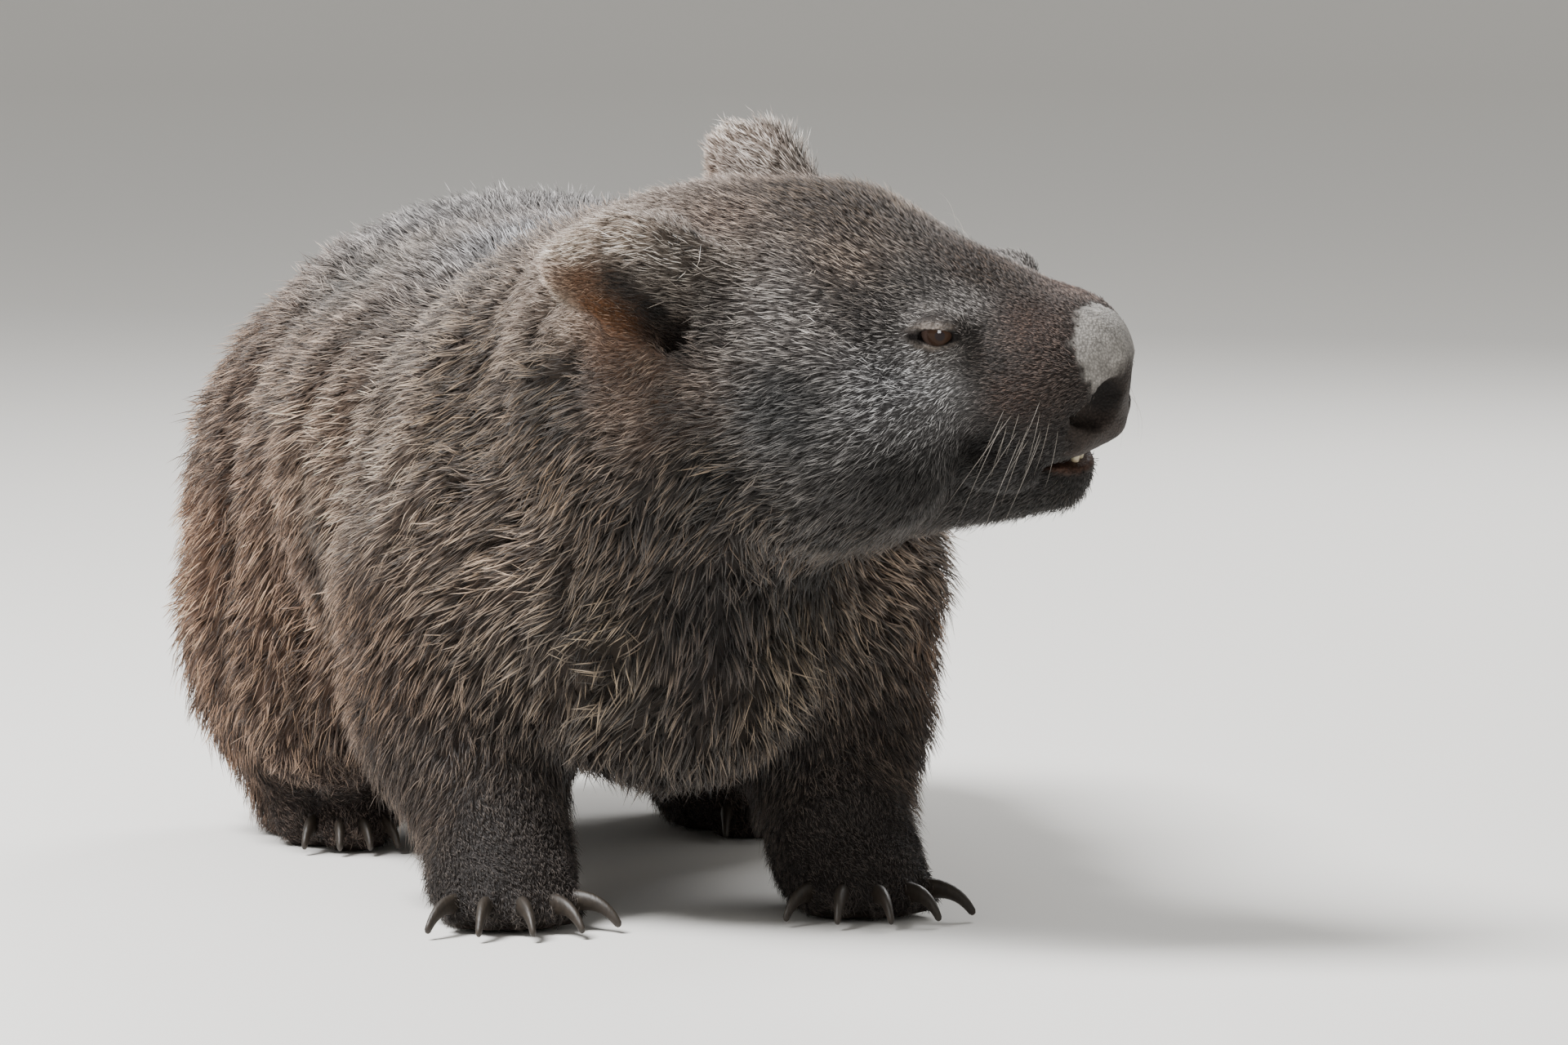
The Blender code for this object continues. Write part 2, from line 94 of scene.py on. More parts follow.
def turned(yaw=0.0, pitch=0.0, roll=0.0):
    """A turn about Z, then X, then Y, in degrees, as a 3 x 3 array."""
    turn = Matrix.Rotation(math.radians(yaw), 3, "Z")
    turn = turn @ Matrix.Rotation(math.radians(pitch), 3, "X")
    return np.array(turn @ Matrix.Rotation(math.radians(roll), 3, "Y"))


class Place:
    """A local frame: where it is, and how it is turned."""

    def __init__(self, at=(0, 0, 0), turn=None):
        self.at = np.array(at, float)
        self.turn = np.eye(3) if turn is None else np.array(turn, float)

    def point(self, local):
        return self.at + self.turn @ np.array(local, float)

    def way(self, local):
        found = self.turn @ np.array(local, float)
        return found / np.linalg.norm(found)


BODY = Place(SHIFT)
HEAD = Place(BODY.point(HEAD_AT), turned(HEAD_YAW, HEAD_PITCH, HEAD_ROLL))


class Clay:
    """The distance to a soft shape, sampled on a grid. Masses are added or cut away with a soft seam."""

    REACH = 0.02  # how far round a mass the grid is brought up to date

    def __init__(self, low, high, step):
        self.low, self.step = np.array(low, float), step
        size = np.ceil((np.array(high) - self.low) / step).astype(int) + 1
        self.far = np.full(size, 1.0, np.float32)

    def _around(self, low, high):
        first = np.clip(np.floor((low - self.low) / self.step).astype(int), 0, self.far.shape)
        last = np.clip(np.ceil((high - self.low) / self.step).astype(int) + 1, 0, self.far.shape)
        lines = [self.low[k] + self.step * np.arange(first[k], last[k]) for k in range(3)]
        spot = tuple(slice(first[k], last[k]) for k in range(3))
        return spot, np.stack(np.meshgrid(*lines, indexing="ij"), -1)

    def _melt(self, spot, distance, soft, cut):
        old = self.far[spot]
        if cut:
            share = np.clip(0.5 - 0.5 * (old + distance) / soft, 0, 1)
            new = old * (1 - share) - distance * share + soft * share * (1 - share)
        else:
            share = np.clip(0.5 + 0.5 * (old - distance) / soft, 0, 1)
            new = old * (1 - share) + distance * share - soft * share * (1 - share)
        self.far[spot] = new

    def egg(self, centre, radii, place=BODY, turn=None, soft=0.03, cut=False):
        """An ellipsoid with these half sizes along its place's axes."""
        axes = place.turn if turn is None else place.turn @ turn
        middle, radii = place.point(centre), np.array(radii, float)
        half = np.sqrt(((axes * radii) ** 2).sum(1)) + self.REACH + soft
        spot, points = self._around(middle - half, middle + half)
        local = (points - middle) @ axes
        near = np.sqrt(((local / radii) ** 2).sum(-1))
        steep = np.sqrt(((local / radii**2) ** 2).sum(-1)) + 1e-6
        self._melt(spot, near * (near - 1) / steep, soft, cut)

    def limb(self, start, end, radii, place=BODY, soft=0.03, flat=1.0, across=(1, 0, 0), cut=False):
        """A round-ended taper from start to end, whose width along across is flat times its height."""
        start, end = place.point(start), place.point(end)
        pad = max(radii) * max(1.0, flat) + self.REACH + soft
        spot, points = self._around(np.minimum(start, end) - pad, np.maximum(start, end) + pad)
        along, off = end - start, points - start
        share = np.clip(off @ along / (along @ along), 0, 1)
        off = off - share[..., None] * along
        side = place.way(across)
        off = off + (1 / flat - 1) * (off @ side)[..., None] * side
        radius = radii[0] + (radii[1] - radii[0]) * share
        self._melt(spot, np.sqrt((off**2).sum(-1)) - radius, soft, cut)

    def surface(self):
        grid = openvdb.FloatGrid(1.0)
        grid.copyFromArray(self.far)
        points, quads = grid.convertToQuads()
        return points * self.step + self.low, quads


def outwards(spot, side):
    """The same place on the right or left side."""
    return (spot[0] * side, spot[1], spot[2])


def toes(side, fore):
    """The middle of each toe, and the way it points, on one paw."""
    (x, y, _), (wide, deep, _) = FOREPAW if fore else HINDPAW
    for angle in FORETOES if fore else HINDTOES:
        lean = math.radians(angle)
        aim = (math.sin(lean) * side * 0.7, -math.cos(lean), 0)
        spread = (0.84 * wide * math.sin(lean), 0.88 * deep * math.cos(lean))
        yield ((x + spread[0]) * side, y - spread[1], 0.0115), aim


def shape_trunk(clay):
    for centre, radii in (BARREL, RUMP, SHOULDERS, BELLY, BREAST):
        clay.egg(centre, radii)
    clay.limb(*NECK, NECK_RADII)
    clay.limb(*TAIL, TAIL_RADII, soft=0.015)


def shape_paw(clay, side, fore):
    centre, radii = FOREPAW if fore else HINDPAW
    clay.egg(outwards(centre, side), radii, soft=0.015)
    for centre, aim in toes(side, fore):
        clay.egg(centre, TOE_RADII, turn=turned(math.degrees(math.atan2(aim[0], -aim[1]))), soft=0.004)


def shape_foreleg(clay, side):
    shoulder, elbow, wrist = (outwards(spot, side) for spot in (SHOULDER, ELBOW, WRIST))
    clay.egg((0.074 * side, -0.125, 0.172), (0.050, 0.078, 0.090))
    clay.limb(shoulder, elbow, (0.058, 0.050))
    clay.limb(elbow, wrist, (0.047, 0.036), soft=0.02)
    shape_paw(clay, side, True)


def shape_hindleg(clay, side):
    knee, heel = outwards(KNEE, side), outwards(HEEL, side)
    clay.egg(outwards(HIP, side), (0.060, 0.100, 0.104))
    clay.limb((0.106 * side, 0.130, 0.120), knee, (0.058, 0.048))
    clay.egg((0.108 * side, 0.165, 0.088), (0.056, 0.086, 0.062))
    clay.limb(knee, heel, (0.046, 0.034), soft=0.02)
    shape_paw(clay, side, False)


def shape_eye(clay, side):
    """A hollow beside the bridge of the nose, and the two lids round a narrow opening."""
    x, y, z = outwards(EYE, side)
    clay.egg((x + 0.0185 * side, y, z), (0.0125, 0.021, 0.015), HEAD, soft=0.014, cut=True)
    clay.egg((x, y, z), (0.0100, 0.0130, 0.0094), HEAD, soft=0.007)
    slant = turned(24 * side)
    clay.egg((x + 0.0085 * side, y - 0.001, z - 0.0004), (0.008, 0.0090, 0.0031), HEAD, slant, 0.001, True)


def shape_muzzle(clay):
    for side in SIDES.values():
        clay.egg((0.022 * side, -0.164, -0.044), (0.020, 0.031, 0.026), HEAD, soft=0.008)
        clay.egg((0.016 * side, -0.169, -0.069), (0.021, 0.0265, 0.0150), HEAD, soft=0.008)
    clay.egg((0, -0.180, -0.073), (0.019, 0.0185, 0.0120), HEAD, soft=0.006)
    clay.egg(*NOSE, HEAD, soft=0.013)
    clay.limb(*JAW, (0.034, 0.0145), HEAD, soft=0.010, flat=1.35)
    clay.egg((0, -0.166, -0.093), (0.018, 0.0155, 0.009), HEAD, soft=0.006)
    clay.egg((0, -0.190, MOUTH), (0.036, 0.040, 0.0030), HEAD, soft=0.002, cut=True)
    clay.egg((0, -0.201, MOUTH - 0.001), (0.026, 0.030, 0.0065), HEAD, soft=0.003, cut=True)
    clay.limb((0, -0.210, -0.040), (0, -0.207, -0.078), (0.0012, 0.0022), HEAD, soft=0.004, cut=True)
    for side in SIDES.values():
        turn = turned(-38 * side, 0, 28 * side)
        clay.egg(outwards(NOSTRIL, side), (0.0068, 0.0145, 0.0072), HEAD, turn, 0.003, True)
        clay.limb((0.018 * side, -0.198, -0.060), (0.034 * side, -0.176, -0.057), (0.004, 0.002), HEAD,
                  soft=0.004, cut=True)


def shape_head(clay):
    clay.egg((0, -0.035, -0.037), (0.072, 0.083, 0.072), HEAD, soft=0.02)
    clay.limb((0, -0.070, -0.020), (0, -0.163, -0.046), (0.051, 0.0355), HEAD, soft=0.02, flat=1.15)
    clay.egg((0, -0.040, -0.095), (0.062, 0.072, 0.043), HEAD, soft=0.02)
    for side in SIDES.values():
        clay.egg((0.046 * side, -0.075, -0.065), (0.040, 0.063, 0.053), HEAD, soft=0.02)
    shape_muzzle(clay)
    for side in SIDES.values():
        shape_eye(clay, side)


def ear_place(side):
    """The ear's own frame: +Z runs to its tip, and its cup opens along +Y, outwards and forwards."""
    tip = np.array(outwards(EAR_AXIS, side))
    tip /= np.linalg.norm(tip)
    opening = np.array((0.93 * side, -0.36, 0.0))
    opening -= (opening @ tip) * tip
    opening /= np.linalg.norm(opening)
    turn = np.stack([np.cross(opening, tip), opening, tip], 1)
    return Place(HEAD.point(outwards(EAR_BASE, side)), HEAD.turn @ turn)


def shape_ear(clay, side):
    place = ear_place(side)
    clay.limb((0, 0, -0.012), (0, 0, 0.60 * EAR_LENGTH), (0.033, 0.019), place, soft=0.012, flat=0.40,
              across=(0, 1, 0))
    clay.egg((0, 0, 0.73 * EAR_LENGTH), (0.0160, 0.0085, 0.019), place, soft=0.008)
    clay.egg((0.024 * side, 0.001, 0.012), (0.014, 0.011, 0.024), place, soft=0.010)
    clay.egg((0, 0.013, 0.40 * EAR_LENGTH), (0.0215, 0.0125, 0.031), place, soft=0.003, cut=True)
    clay.egg((0.012 * side, -0.004, 0.027), (0.018, 0.0045, 0.022), place, soft=0.006)


def shape_all(clay):
    shape_trunk(clay)
    for side in SIDES.values():
        shape_foreleg(clay, side)
        shape_hindleg(clay, side)
    shape_head(clay)
    for side in SIDES.values():
        shape_ear(clay, side)


# The coat, place by place. Positions are in the body's, head's or ear's own frame with x counted
# outwards (in the ear: forwards). Each row: group, frame, spot, lie, length in mm, lift in degrees,
# undercoat, tips.
CHART = (
    ("back", "body", (0.030, -0.040, 0.315), (0.10, 1, -0.10), 15, 27, "4B4848", "D4D4D7"),
    ("back", "body", (0.040, 0.130, 0.318), (0.15, 1, -0.15), 15, 27, "474240", "C8C4C2"),
    ("back", "body", (0.100, 0.060, 0.290), (0.20, 1, -0.30), 16, 27, "484039", "BDB2A8"),
    ("rump", "body", (0.050, 0.260, 0.260), (0.10, 0.5, -1), 16, 26, "4C3F35", "C2AC98"),
    ("rump", "body", (0.120, 0.240, 0.180), (0.10, 0.4, -1), 17, 28, "523D30", "D2AE92"),
    ("rump", "body", (0.070, 0.290, 0.110), (0, 0.2, -1), 19, 28, "533E31", "D6B597"),
    ("rump", "body", (0.000, 0.316, 0.140), (0, 0.3, -1), 10, 24, "463931", "A99483"),
    ("flank", "body", (0.142, 0.050, 0.250), (0.10, 0.9, -0.45), 17, 28, "4A3B31", "C6AC96"),
    ("flank", "body", (0.150, 0.030, 0.170), (0, 0.75, -0.75), 18, 30, "523C2D", "DAB396"),
    ("flank", "body", (0.157, 0.150, 0.210), (0.10, 0.7, -0.80), 17, 28, "4F3C30", "CBAC94"),
    ("flank", "body", (0.125, 0.040, 0.095), (-0.10, 0.6, -0.80), 20, 30, "573F30", "DFB998"),
    ("flank", "body", (0.147, -0.045, 0.195), (0.05, 0.75, -0.70), 18, 30, "624D3E", "EED0B4"),
    ("belly", "body", (0.000, 0.040, 0.052), (0, 1, 0), 20, 24, "342B26", "8E7D6F"),
    ("hindleg", "body", (0.163, 0.150, 0.145), (0.05, 0.55, -0.85), 19, 29, "684936", "FACDA8"),
    ("hindleg", "body", (0.150, 0.140, 0.075), (0, 0.3, -1), 20, 28, "4E382A", "D2A98A"),
    ("hindleg", "body", (0.060, 0.150, 0.070), (0, 0.2, -1), 15, 22, "362B24", "85705F"),
    ("hindleg", "body", (0.100, 0.105, 0.036), (0, -1, -0.25), 5, 16, "312824", "82736A"),
    ("shoulder", "body", (0.125, -0.130, 0.215), (0.15, 0.75, -0.60), 18, 30, "5E4D41", "F2DAC2"),
    ("shoulder", "body", (0.110, -0.100, 0.280), (0.10, 0.9, -0.45), 17, 29, "524740", "D8C4B0"),
    ("shoulder", "body", (0.050, -0.120, 0.318), (0, 1, -0.15), 16, 27, "483D36", "BDAC9D"),
    ("shoulder", "body", (0.094, -0.210, 0.165), (0.80, 0.45, -0.55), 20, 32, "44352A", "CBB096"),
    ("foreleg", "body", (0.130, -0.140, 0.125), (0.25, 0.35, -0.9), 18, 29, "423126", "B8977C"),
    ("foreleg", "body", (0.115, -0.160, 0.065), (0.10, 0.1, -1), 14, 26, "372C26", "8E7C6D"),
    ("foreleg", "body", (0.045, -0.150, 0.080), (0, 0, -1), 14, 22, "292320", "65584E"),
    ("foreleg", "body", (0.083, -0.200, 0.034), (0, -1, -0.3), 4.5, 16, "2C2522", "716760"),
    ("chest", "body", (0.000, -0.255, 0.140), (0, -0.1, -1), 23, 28, "231B17", "5A4C41"),
    ("chest", "body", (0.045, -0.250, 0.130), (0.45, -0.1, -0.85), 25, 34, "33291F", "B5A085"),
    ("chest", "body", (0.085, -0.225, 0.130), (0.60, 0.1, -0.75), 21, 31, "3A2E26", "A9957F"),
    ("neck", "body", (0.103, -0.190, 0.247), (0.50, 0.7, -0.5), 20, 33, "382B22", "A58D72"),
    ("neck", "body", (0.080, -0.270, 0.230), (0.70, 0.5, -0.6), 22, 35, "2F241B", "9C8064"),
    ("neck", "body", (0.030, -0.280, 0.195), (0.40, 0.3, -0.9), 24, 34, "241B15", "735E49"),
    ("neck", "body", (0.020, -0.170, 0.325), (0, 1, 0), 16, 28, "463930", "B79E87"),
    ("crown", "head", (0.030, -0.030, 0.035), (0.15, 1, 0.1), 9, 25, "44362E", "C9B09D"),
    ("crown", "head", (0.020, -0.090, 0.030), (0.10, 1, 0.3), 8, 22, "2D241F", "7C6A59"),
    ("crown", "head", (0.035, -0.095, 0.015), (0.12, 1, 0.3), 8, 22, "463B34", "B8A695"),
    ("crown", "head", (0.000, -0.060, 0.042), (0.05, 1, 0.2), 9, 23, "2E251F", "806C5A"),
    ("crown", "head", (0.008, -0.145, 0.004), (0.10, 1, 0.35), 5, 22, "281F19", "6C5442"),
    ("cheek", "head", (0.043, -0.124, 0.008), (0.2, 1, 0.3), 6, 20, "1A1613", "4F4741"),
    ("cheek", "head", (0.032, -0.145, -0.006), (0.2, 1, 0.3), 4, 16, "4A4542", "CBC5C0"),
    ("cheek", "head", (0.047, -0.133, -0.006), (0.2, 1, 0.2), 4, 15, "46403C", "C6BFB9"),
    ("crown", "head", (0.052, -0.108, 0.000), (0.2, 1, 0.1), 7, 20, "211C19", "665D56"),
    ("crown", "head", (0.034, -0.138, 0.008), (0.2, 1, 0.3), 5, 20, "1C1714", "53493F"),
    ("muzzle", "head", (0.043, -0.152, -0.012), (0.2, 1, 0.1), 4, 15, "241F1C", "665C55"),
    ("cheek", "head", (0.051, -0.136, -0.039), (0.25, 0.85, -0.45), 5, 17, "7A7878", "FFFEFD"),
    ("cheek", "head", (0.049, -0.133, -0.027), (0.20, 0.95, -0.2), 3.5, 15, "6A6664", "F8F5F2"),
    ("cheek", "head", (0.058, -0.122, -0.036), (0.25, 0.85, -0.45), 7, 18, "565455", "E6E5E4"),
    ("cheek", "head", (0.075, -0.075, -0.040), (0.2, 0.95, -0.30), 10, 21, "201F1F", "726F6C"),
    ("cheek", "head", (0.061, -0.078, -0.003), (0.2, 0.95, 0.0), 9, 21, "524B48", "EAE2DA"),
    ("cheek", "head", (0.070, -0.040, 0.000), (0.2, 0.95, 0.0), 10, 22, "443E3B", "CFC7BF"),
    ("jaw", "head", (0.085, -0.035, -0.080), (0.3, 0.8, -0.5), 22, 34, "1C1510", "6C573A"),
    ("jaw", "head", (0.067, -0.122, -0.078), (0.2, 0.8, -0.5), 10, 22, "151210", "3E3833"),
    ("jaw", "head", (0.055, -0.090, -0.110), (0.1, 0.75, -0.6), 15, 28, "181411", "564B40"),
    ("jaw", "head", (0.000, -0.050, -0.135), (0, 0.7, -0.6), 21, 26, "1B1612", "52463A"),
    ("jaw", "head", (0.005, -0.165, -0.113), (0, 0.8, -0.5), 7, 26, "14110E", "373029"),
    ("muzzle", "head", (0.036, -0.165, -0.042), (0.15, 1, -0.1), 3.5, 14, "33241D", "614637"),
    ("muzzle", "head", (0.034, -0.162, -0.072), (0.2, 0.9, -0.4), 4, 15, "1C1816", "38322E"),
    ("muzzle", "head", (0.016, -0.192, -0.077), (0.3, 0.7, -0.2), 2.5, 14, "1C1816", "363029"),
    ("jaw", "head", (0.016, -0.184, -0.095), (0.3, 0.8, -0.4), 4, 18, "181411", "352E28"),
    ("muzzle", "head", (0.043, -0.157, -0.028), (0.2, 1, 0.0), 4, 16, "2A2421", "6A5D55"),
    ("muzzle", "head", (0.042, -0.138, -0.080), (0.2, 0.8, -0.5), 8, 20, "191614", "423C37"),
    ("muzzle", "head", (0.024, -0.168, -0.022), (0.3, 1, 0.2), 3, 14, "33251F", "785F52"),
    ("neck", "head", (0.070, 0.035, -0.035), (0.2, 0.95, -0.3), 18, 32, "33271E", "917B62"),
    ("ear", "ear", (0.000, -0.012, 0.020), (0, 0, 1), 8, 22, "7A6B60", "EADFD6"),
    ("ear", "ear", (0.014, -0.010, 0.028), (0, 0, 1), 8, 22, "8A7B70", "F4EAE2"),
    ("ear", "ear", (0.026, -0.010, 0.020), (0, 0, 1), 8, 22, "8A7B70", "F4EAE2"),
    ("ear", "ear", (0.004, -0.010, 0.048), (0, 0, 1), 8, 22, "8A7B70", "F4EAE2"),
    ("ear", "ear", (-0.002, 0.003, 0.044), (-0.1, 0.1, 1), 4, 12, "7A563E", "B48F6E"),
    ("ear", "ear", (-0.013, 0.002, 0.033), (-0.1, 0.1, 1), 4, 10, "6E4D37", "A58264"),
    ("ear", "ear", (-0.021, 0.004, 0.018), (-0.2, 0.1, 1), 5, 14, "7A5843", "C4A084"),
    ("ear", "ear", (-0.025, 0.010, 0.004), (-0.6, 0.3, 0.5), 8, 22, "6E5545", "C9AF98"),
    # dark hair deep in the ear's cup: painted shade of its hollow
    ("ear", "ear", (0.002, -0.002, 0.023), (0, 0.1, 1), 5, 12, "1E1612", "4E3D31"),
    ("ear", "ear", (-0.008, 0.000, 0.008), (0, 0.1, 1), 5, 12, "1E1612", "4A3A2F"),
    ("ear", "ear", (-0.012, 0.009, -0.004), (0, 0.1, 1), 7, 18, "231B16", "5E4C3E"),
    ("ear", "ear", (-0.020, 0.000, 0.046), (-0.4, 0.3, 1), 6, 22, "B39F8C", "F8F0E4"),
    ("ear", "ear", (0.012, 0.003, 0.054), (-0.2, 0.3, 1), 8, 24, "B3A292", "FAF2E6"),
    ("ear", "ear", (0.023, 0.006, 0.034), (-0.2, 0.25, 1), 10, 24, "8A7A6B", "F0E6DA"),
    ("ear", "ear", (0.012, 0.002, 0.016), (-0.15, 0.3, 1), 12, 26, "5A5048", "E8DED2"),
    ("ear", "ear", (0.011, 0.003, 0.001), (-0.15, 0.35, 1), 13, 28, "4E453E", "DED2C4"),
    ("ear", "ear", (0.025, 0.010, 0.010), (-0.1, 0.25, 1), 13, 28, "6A6057", "EEE4D8"),
)

# Where the skin is bare: frame, centre, half sizes, colour, how bare, softness of the edge
BARE = (
    ("ear", (-0.014, 0.003, 0.028), (0.013, 0.010, 0.026), "825A3E", 0.60, 0.5),
    # a dark patch deep in the ear's cup: painted shade of its hollow
    ("ear", (-0.004, 0.002, 0.013), (0.010, 0.012, 0.018), "17110E", 0.55, 0.6),
    ("head", (0, -0.2165, -0.032), (0.040, 0.033, 0.034), "918D88", 1.0, 0.12),
    # the lower nose pad, darker than its top: painted shade under the nose
    ("head", (0, -0.206, -0.074), (0.045, 0.040, 0.034), "302925", 1.0, 0.30),
    # the nostrils, nearly black: painted shade in their openings
    ("head", (0.0120, -0.199, -0.055), (0.0115, 0.017, 0.0105), "130F0D", 1.0, 0.5),
    ("head", (0, -0.187, -0.085), (0.030, 0.034, 0.0080), "4B382F", 1.0, 0.3),
    ("head", (0.0490, -0.1345, -0.0165), (0.012, 0.0185, 0.0098), "766D66", 0.9, 0.5),
    # thin dark lines above and below the eye: painted shade in the creases of the lids
    ("head", (0.0475, -0.1350, -0.0085), (0.012, 0.0120, 0.0016), "241E1B", 0.9, 0.6),
    ("head", (0.0490, -0.1340, -0.0250), (0.012, 0.0100, 0.0016), "2A2421", 0.9, 0.6),
    ("head", (0.0490, -0.1345, -0.0168), (0.013, 0.0175, 0.0043), "100C0B", 1.0, 0.25),
)

# Where the coat parts over a crease: frame, start, end, half width, depth of the shade
CLEFTS = (
    ("body", (0.150, -0.035, 0.235), (0.140, -0.033, 0.172), 0.013, 0.60),
    ("body", (0.140, -0.033, 0.172), (0.121, 0.043, 0.070), 0.016, 0.75),
    ("body", (0.160, 0.095, 0.205), (0.152, 0.105, 0.110), 0.012, 0.60),
    ("body", (0.092, -0.262, 0.234), (0.066, -0.302, 0.252), 0.014, 0.80),
    ("head", (0.080, -0.006, -0.026), (0.082, -0.036, -0.050), 0.011, 0.80),
    ("head", (0.083, -0.040, -0.062), (0.080, -0.046, -0.092), 0.011, 0.70),
    ("ear", (0.004, 0.000, 0.030), (-0.005, 0.000, 0.004), 0.007, 0.80),
    ("ear", (-0.006, 0.004, 0.000), (-0.018, 0.008, -0.010), 0.008, 0.60),
)

GROUPS = tuple(dict.fromkeys(row[0] for row in CHART))

# The skin and its folds
HEAD_MIDDLE, HEAD_REACH = (0, -0.075, -0.040), 0.150  # the ball round the head in which the skin is finer
TRUNK_BOX = (-0.20, -0.34, -0.02), (0.20, 0.38, 0.38)
TRUNK_STEP, HEAD_STEP = 0.0045, 0.0019  # spacing of the skin's points
HEAD_MARGIN, SEAM = 0.01, 0.004  # of the head's grid, and where the two spacings run over each other
CLEAR = 0.0003  # how far the skin and the eyes stay under the solids everywhere
SKIN_LOWEST, HAIR_LOWEST, SOLE_HEIGHT = 0.0005, 0.0008, 0.004  # above the floor
SOLE_COLOUR, SKIN_SHADE = "3A332E", 0.55  # the skin is darker than its undercoat by this
FLANK_ROLL, NECK_ROLL = 0.050, 0.040  # width of a roll of loose skin

# The hairs. What varies does so by clump, by large lock and by hair
THINNEST = 0.00032  # width of the finest hairs
WOOL_LENGTH, WOOL_SLIM = 0.7, 0.075  # as a share of the guard hair's length, and width by length
ROOT_DEPTH = {True: 0.001, False: 0.0006}  # of guard hairs and wool, under the skin
LIE_VARIES, LIFT_VARIES = (0.10, 0.10, 0.20), (0.16, 0.15, 0.28)
LENGTH_VARIES, TONE_VARIES = (0.10, 0, 0.20), (0.11, 0.09, 0.16)
STRAYS = 0.05  # share of guard hairs that stand out from their clump
BRIGHT_SHARE, BRIGHT, DULL = 0.40, 1.05, 0.24  # of the guard hairs, and how pale these and the rest end
MOST_FACES = 195000  # in one piece
TUFT_PATCH = 0.003  # of the unwrapped skin, for the colours of one hair

# The eyes, claws and whiskers
EYE_AIM = (0.90, -0.42, 0.06)
CORNEA, CORNEA_RISE = math.radians(46), 0.045  # half angle of the clear bulge, and its height by radius
PUPIL_COLOUR = (0.004, 0.003, 0.003, 1)
HINDCLAW_SHARE, CLAW_WIDTHS, CLAW_FLAT = 0.75, (0.0054, 0.0018), 0.72
# root, bend and tip: ahead of the toe's middle, share of the claw's length added, height
CLAW_PATH = ((0.004, 0, 0.0010), (0.010, 0.55, 0.0055), (0.009, 1, -0.0085))
BROW_WHISKERS, WHISKER_STEPS = 4, 8
# where the whiskers' roots lie, along Y and up, and the way that they fall
BROW_ROOTS, BROW_FALL = ((-0.130, -0.118), (0.000, 0.006)), (0.55, 0.75, 0.45)
MUZZLE_ROOTS, MUZZLE_FALL = ((-0.189, -0.160), (-0.066, -0.044)), (0.45, 0.28, -1.0)

# The stage
LIT_SPOT, FEET = (0, -0.05, 0.2), (0.019, -0.138, 0.0)
FEET_ASIDE, FEET_BELOW = -0.0332, 0.1792  # of the feet, to the right of the picture's middle and below it


def linear(code):
    """The linear colour of an sRGB hex code."""
    levels = [int(code[k:k + 2], 16) / 255 for k in (0, 2, 4)]
    return [level / 12.92 if level < 0.04045 else ((level + 0.055) / 1.055) ** 2.4 for level in levels]


def place_of(kind, side):
    return {"body": BODY, "head": HEAD}.get(kind) or ear_place(side)


def chart_table():
    """Every row of the chart on both sides, in the model's own frame."""
    rows = []
    for group, kind, spot, lie, length, lift, under, tips in CHART:
        for side in SIDES.values():
            place = place_of(kind, side)
            rows.append((place.point(outwards(spot, side)), place.way(outwards(lie, side)),
                         [length * 0.001, math.radians(lift)], linear(under), linear(tips), GROUPS.index(group)))
    return [np.array(column, float) for column in zip(*rows)]


def read_chart(points, sharp=0.007):
    """The lie, length, lift and colours at each point, and the group of its nearest row."""
    spots, lies, sizes, unders, tips, groups = chart_table()
    table = np.concatenate([lies, sizes, unders, tips], 1)
    values, nearest = np.empty((len(points), table.shape[1])), np.empty(len(points), int)
    for first in range(0, len(points), 20000):
        part = slice(first, first + 20000)
        square = ((points[part, None, :] - spots) ** 2).sum(-1)
        weight = 1 / (square + sharp**2) ** 2
        values[part] = weight @ table / weight.sum(1, keepdims=True)
        nearest[part] = groups[square.argmin(1)]
    return values, nearest


def read_bare(points):
    """How bare the skin is at each point, and the colour that it has there."""
    bare, colour = np.zeros(len(points)), np.zeros((len(points), 3))
    for kind, centre, radii, code, much, soft in BARE:
        for side in SIDES.values():
            place = place_of(kind, side)
            local = (points - place.point(outwards(centre, side))) @ place.turn
            # the edge is a little ragged
            far = np.sqrt(((local / radii) ** 2).sum(1)) + 0.05 * ripple(points, 900, 3)[:, 0]
            share = ramp(1.04 - far, soft) * much
            colour = colour * (1 - share[:, None]) + np.array(linear(code)) * share[:, None]
            bare = np.maximum(bare, share)
    sole = ramp(SOLE_HEIGHT - points[:, 2], 0.002)
    colour = colour * (1 - sole[:, None]) + np.array(linear(SOLE_COLOUR)) * sole[:, None]
    return np.maximum(bare, sole), colour


def ripple(points, rate, seed, waves=7):
    """A smooth random field of three values from -1 to 1, with about rate radians to the metre."""
    dice = np.random.default_rng(seed)
    total = np.zeros((len(points), 3))
    for _ in range(waves):
        aim = dice.normal(size=3)
        aim *= rate * dice.uniform(0.6, 1.5) / np.linalg.norm(aim)
        turn = points @ aim
        total += np.sin(turn[:, None] + dice.uniform(0, 6.28, 3))
    return total / math.sqrt(waves) / 1.2


def ramp(rise, width):
    """0 until rise passes 0, then up to 1 over this width."""
    return np.clip(rise / width, 0, 1)


def unit(rows):
    return rows / np.maximum(np.linalg.norm(rows, axis=-1, keepdims=True), 1e-9)


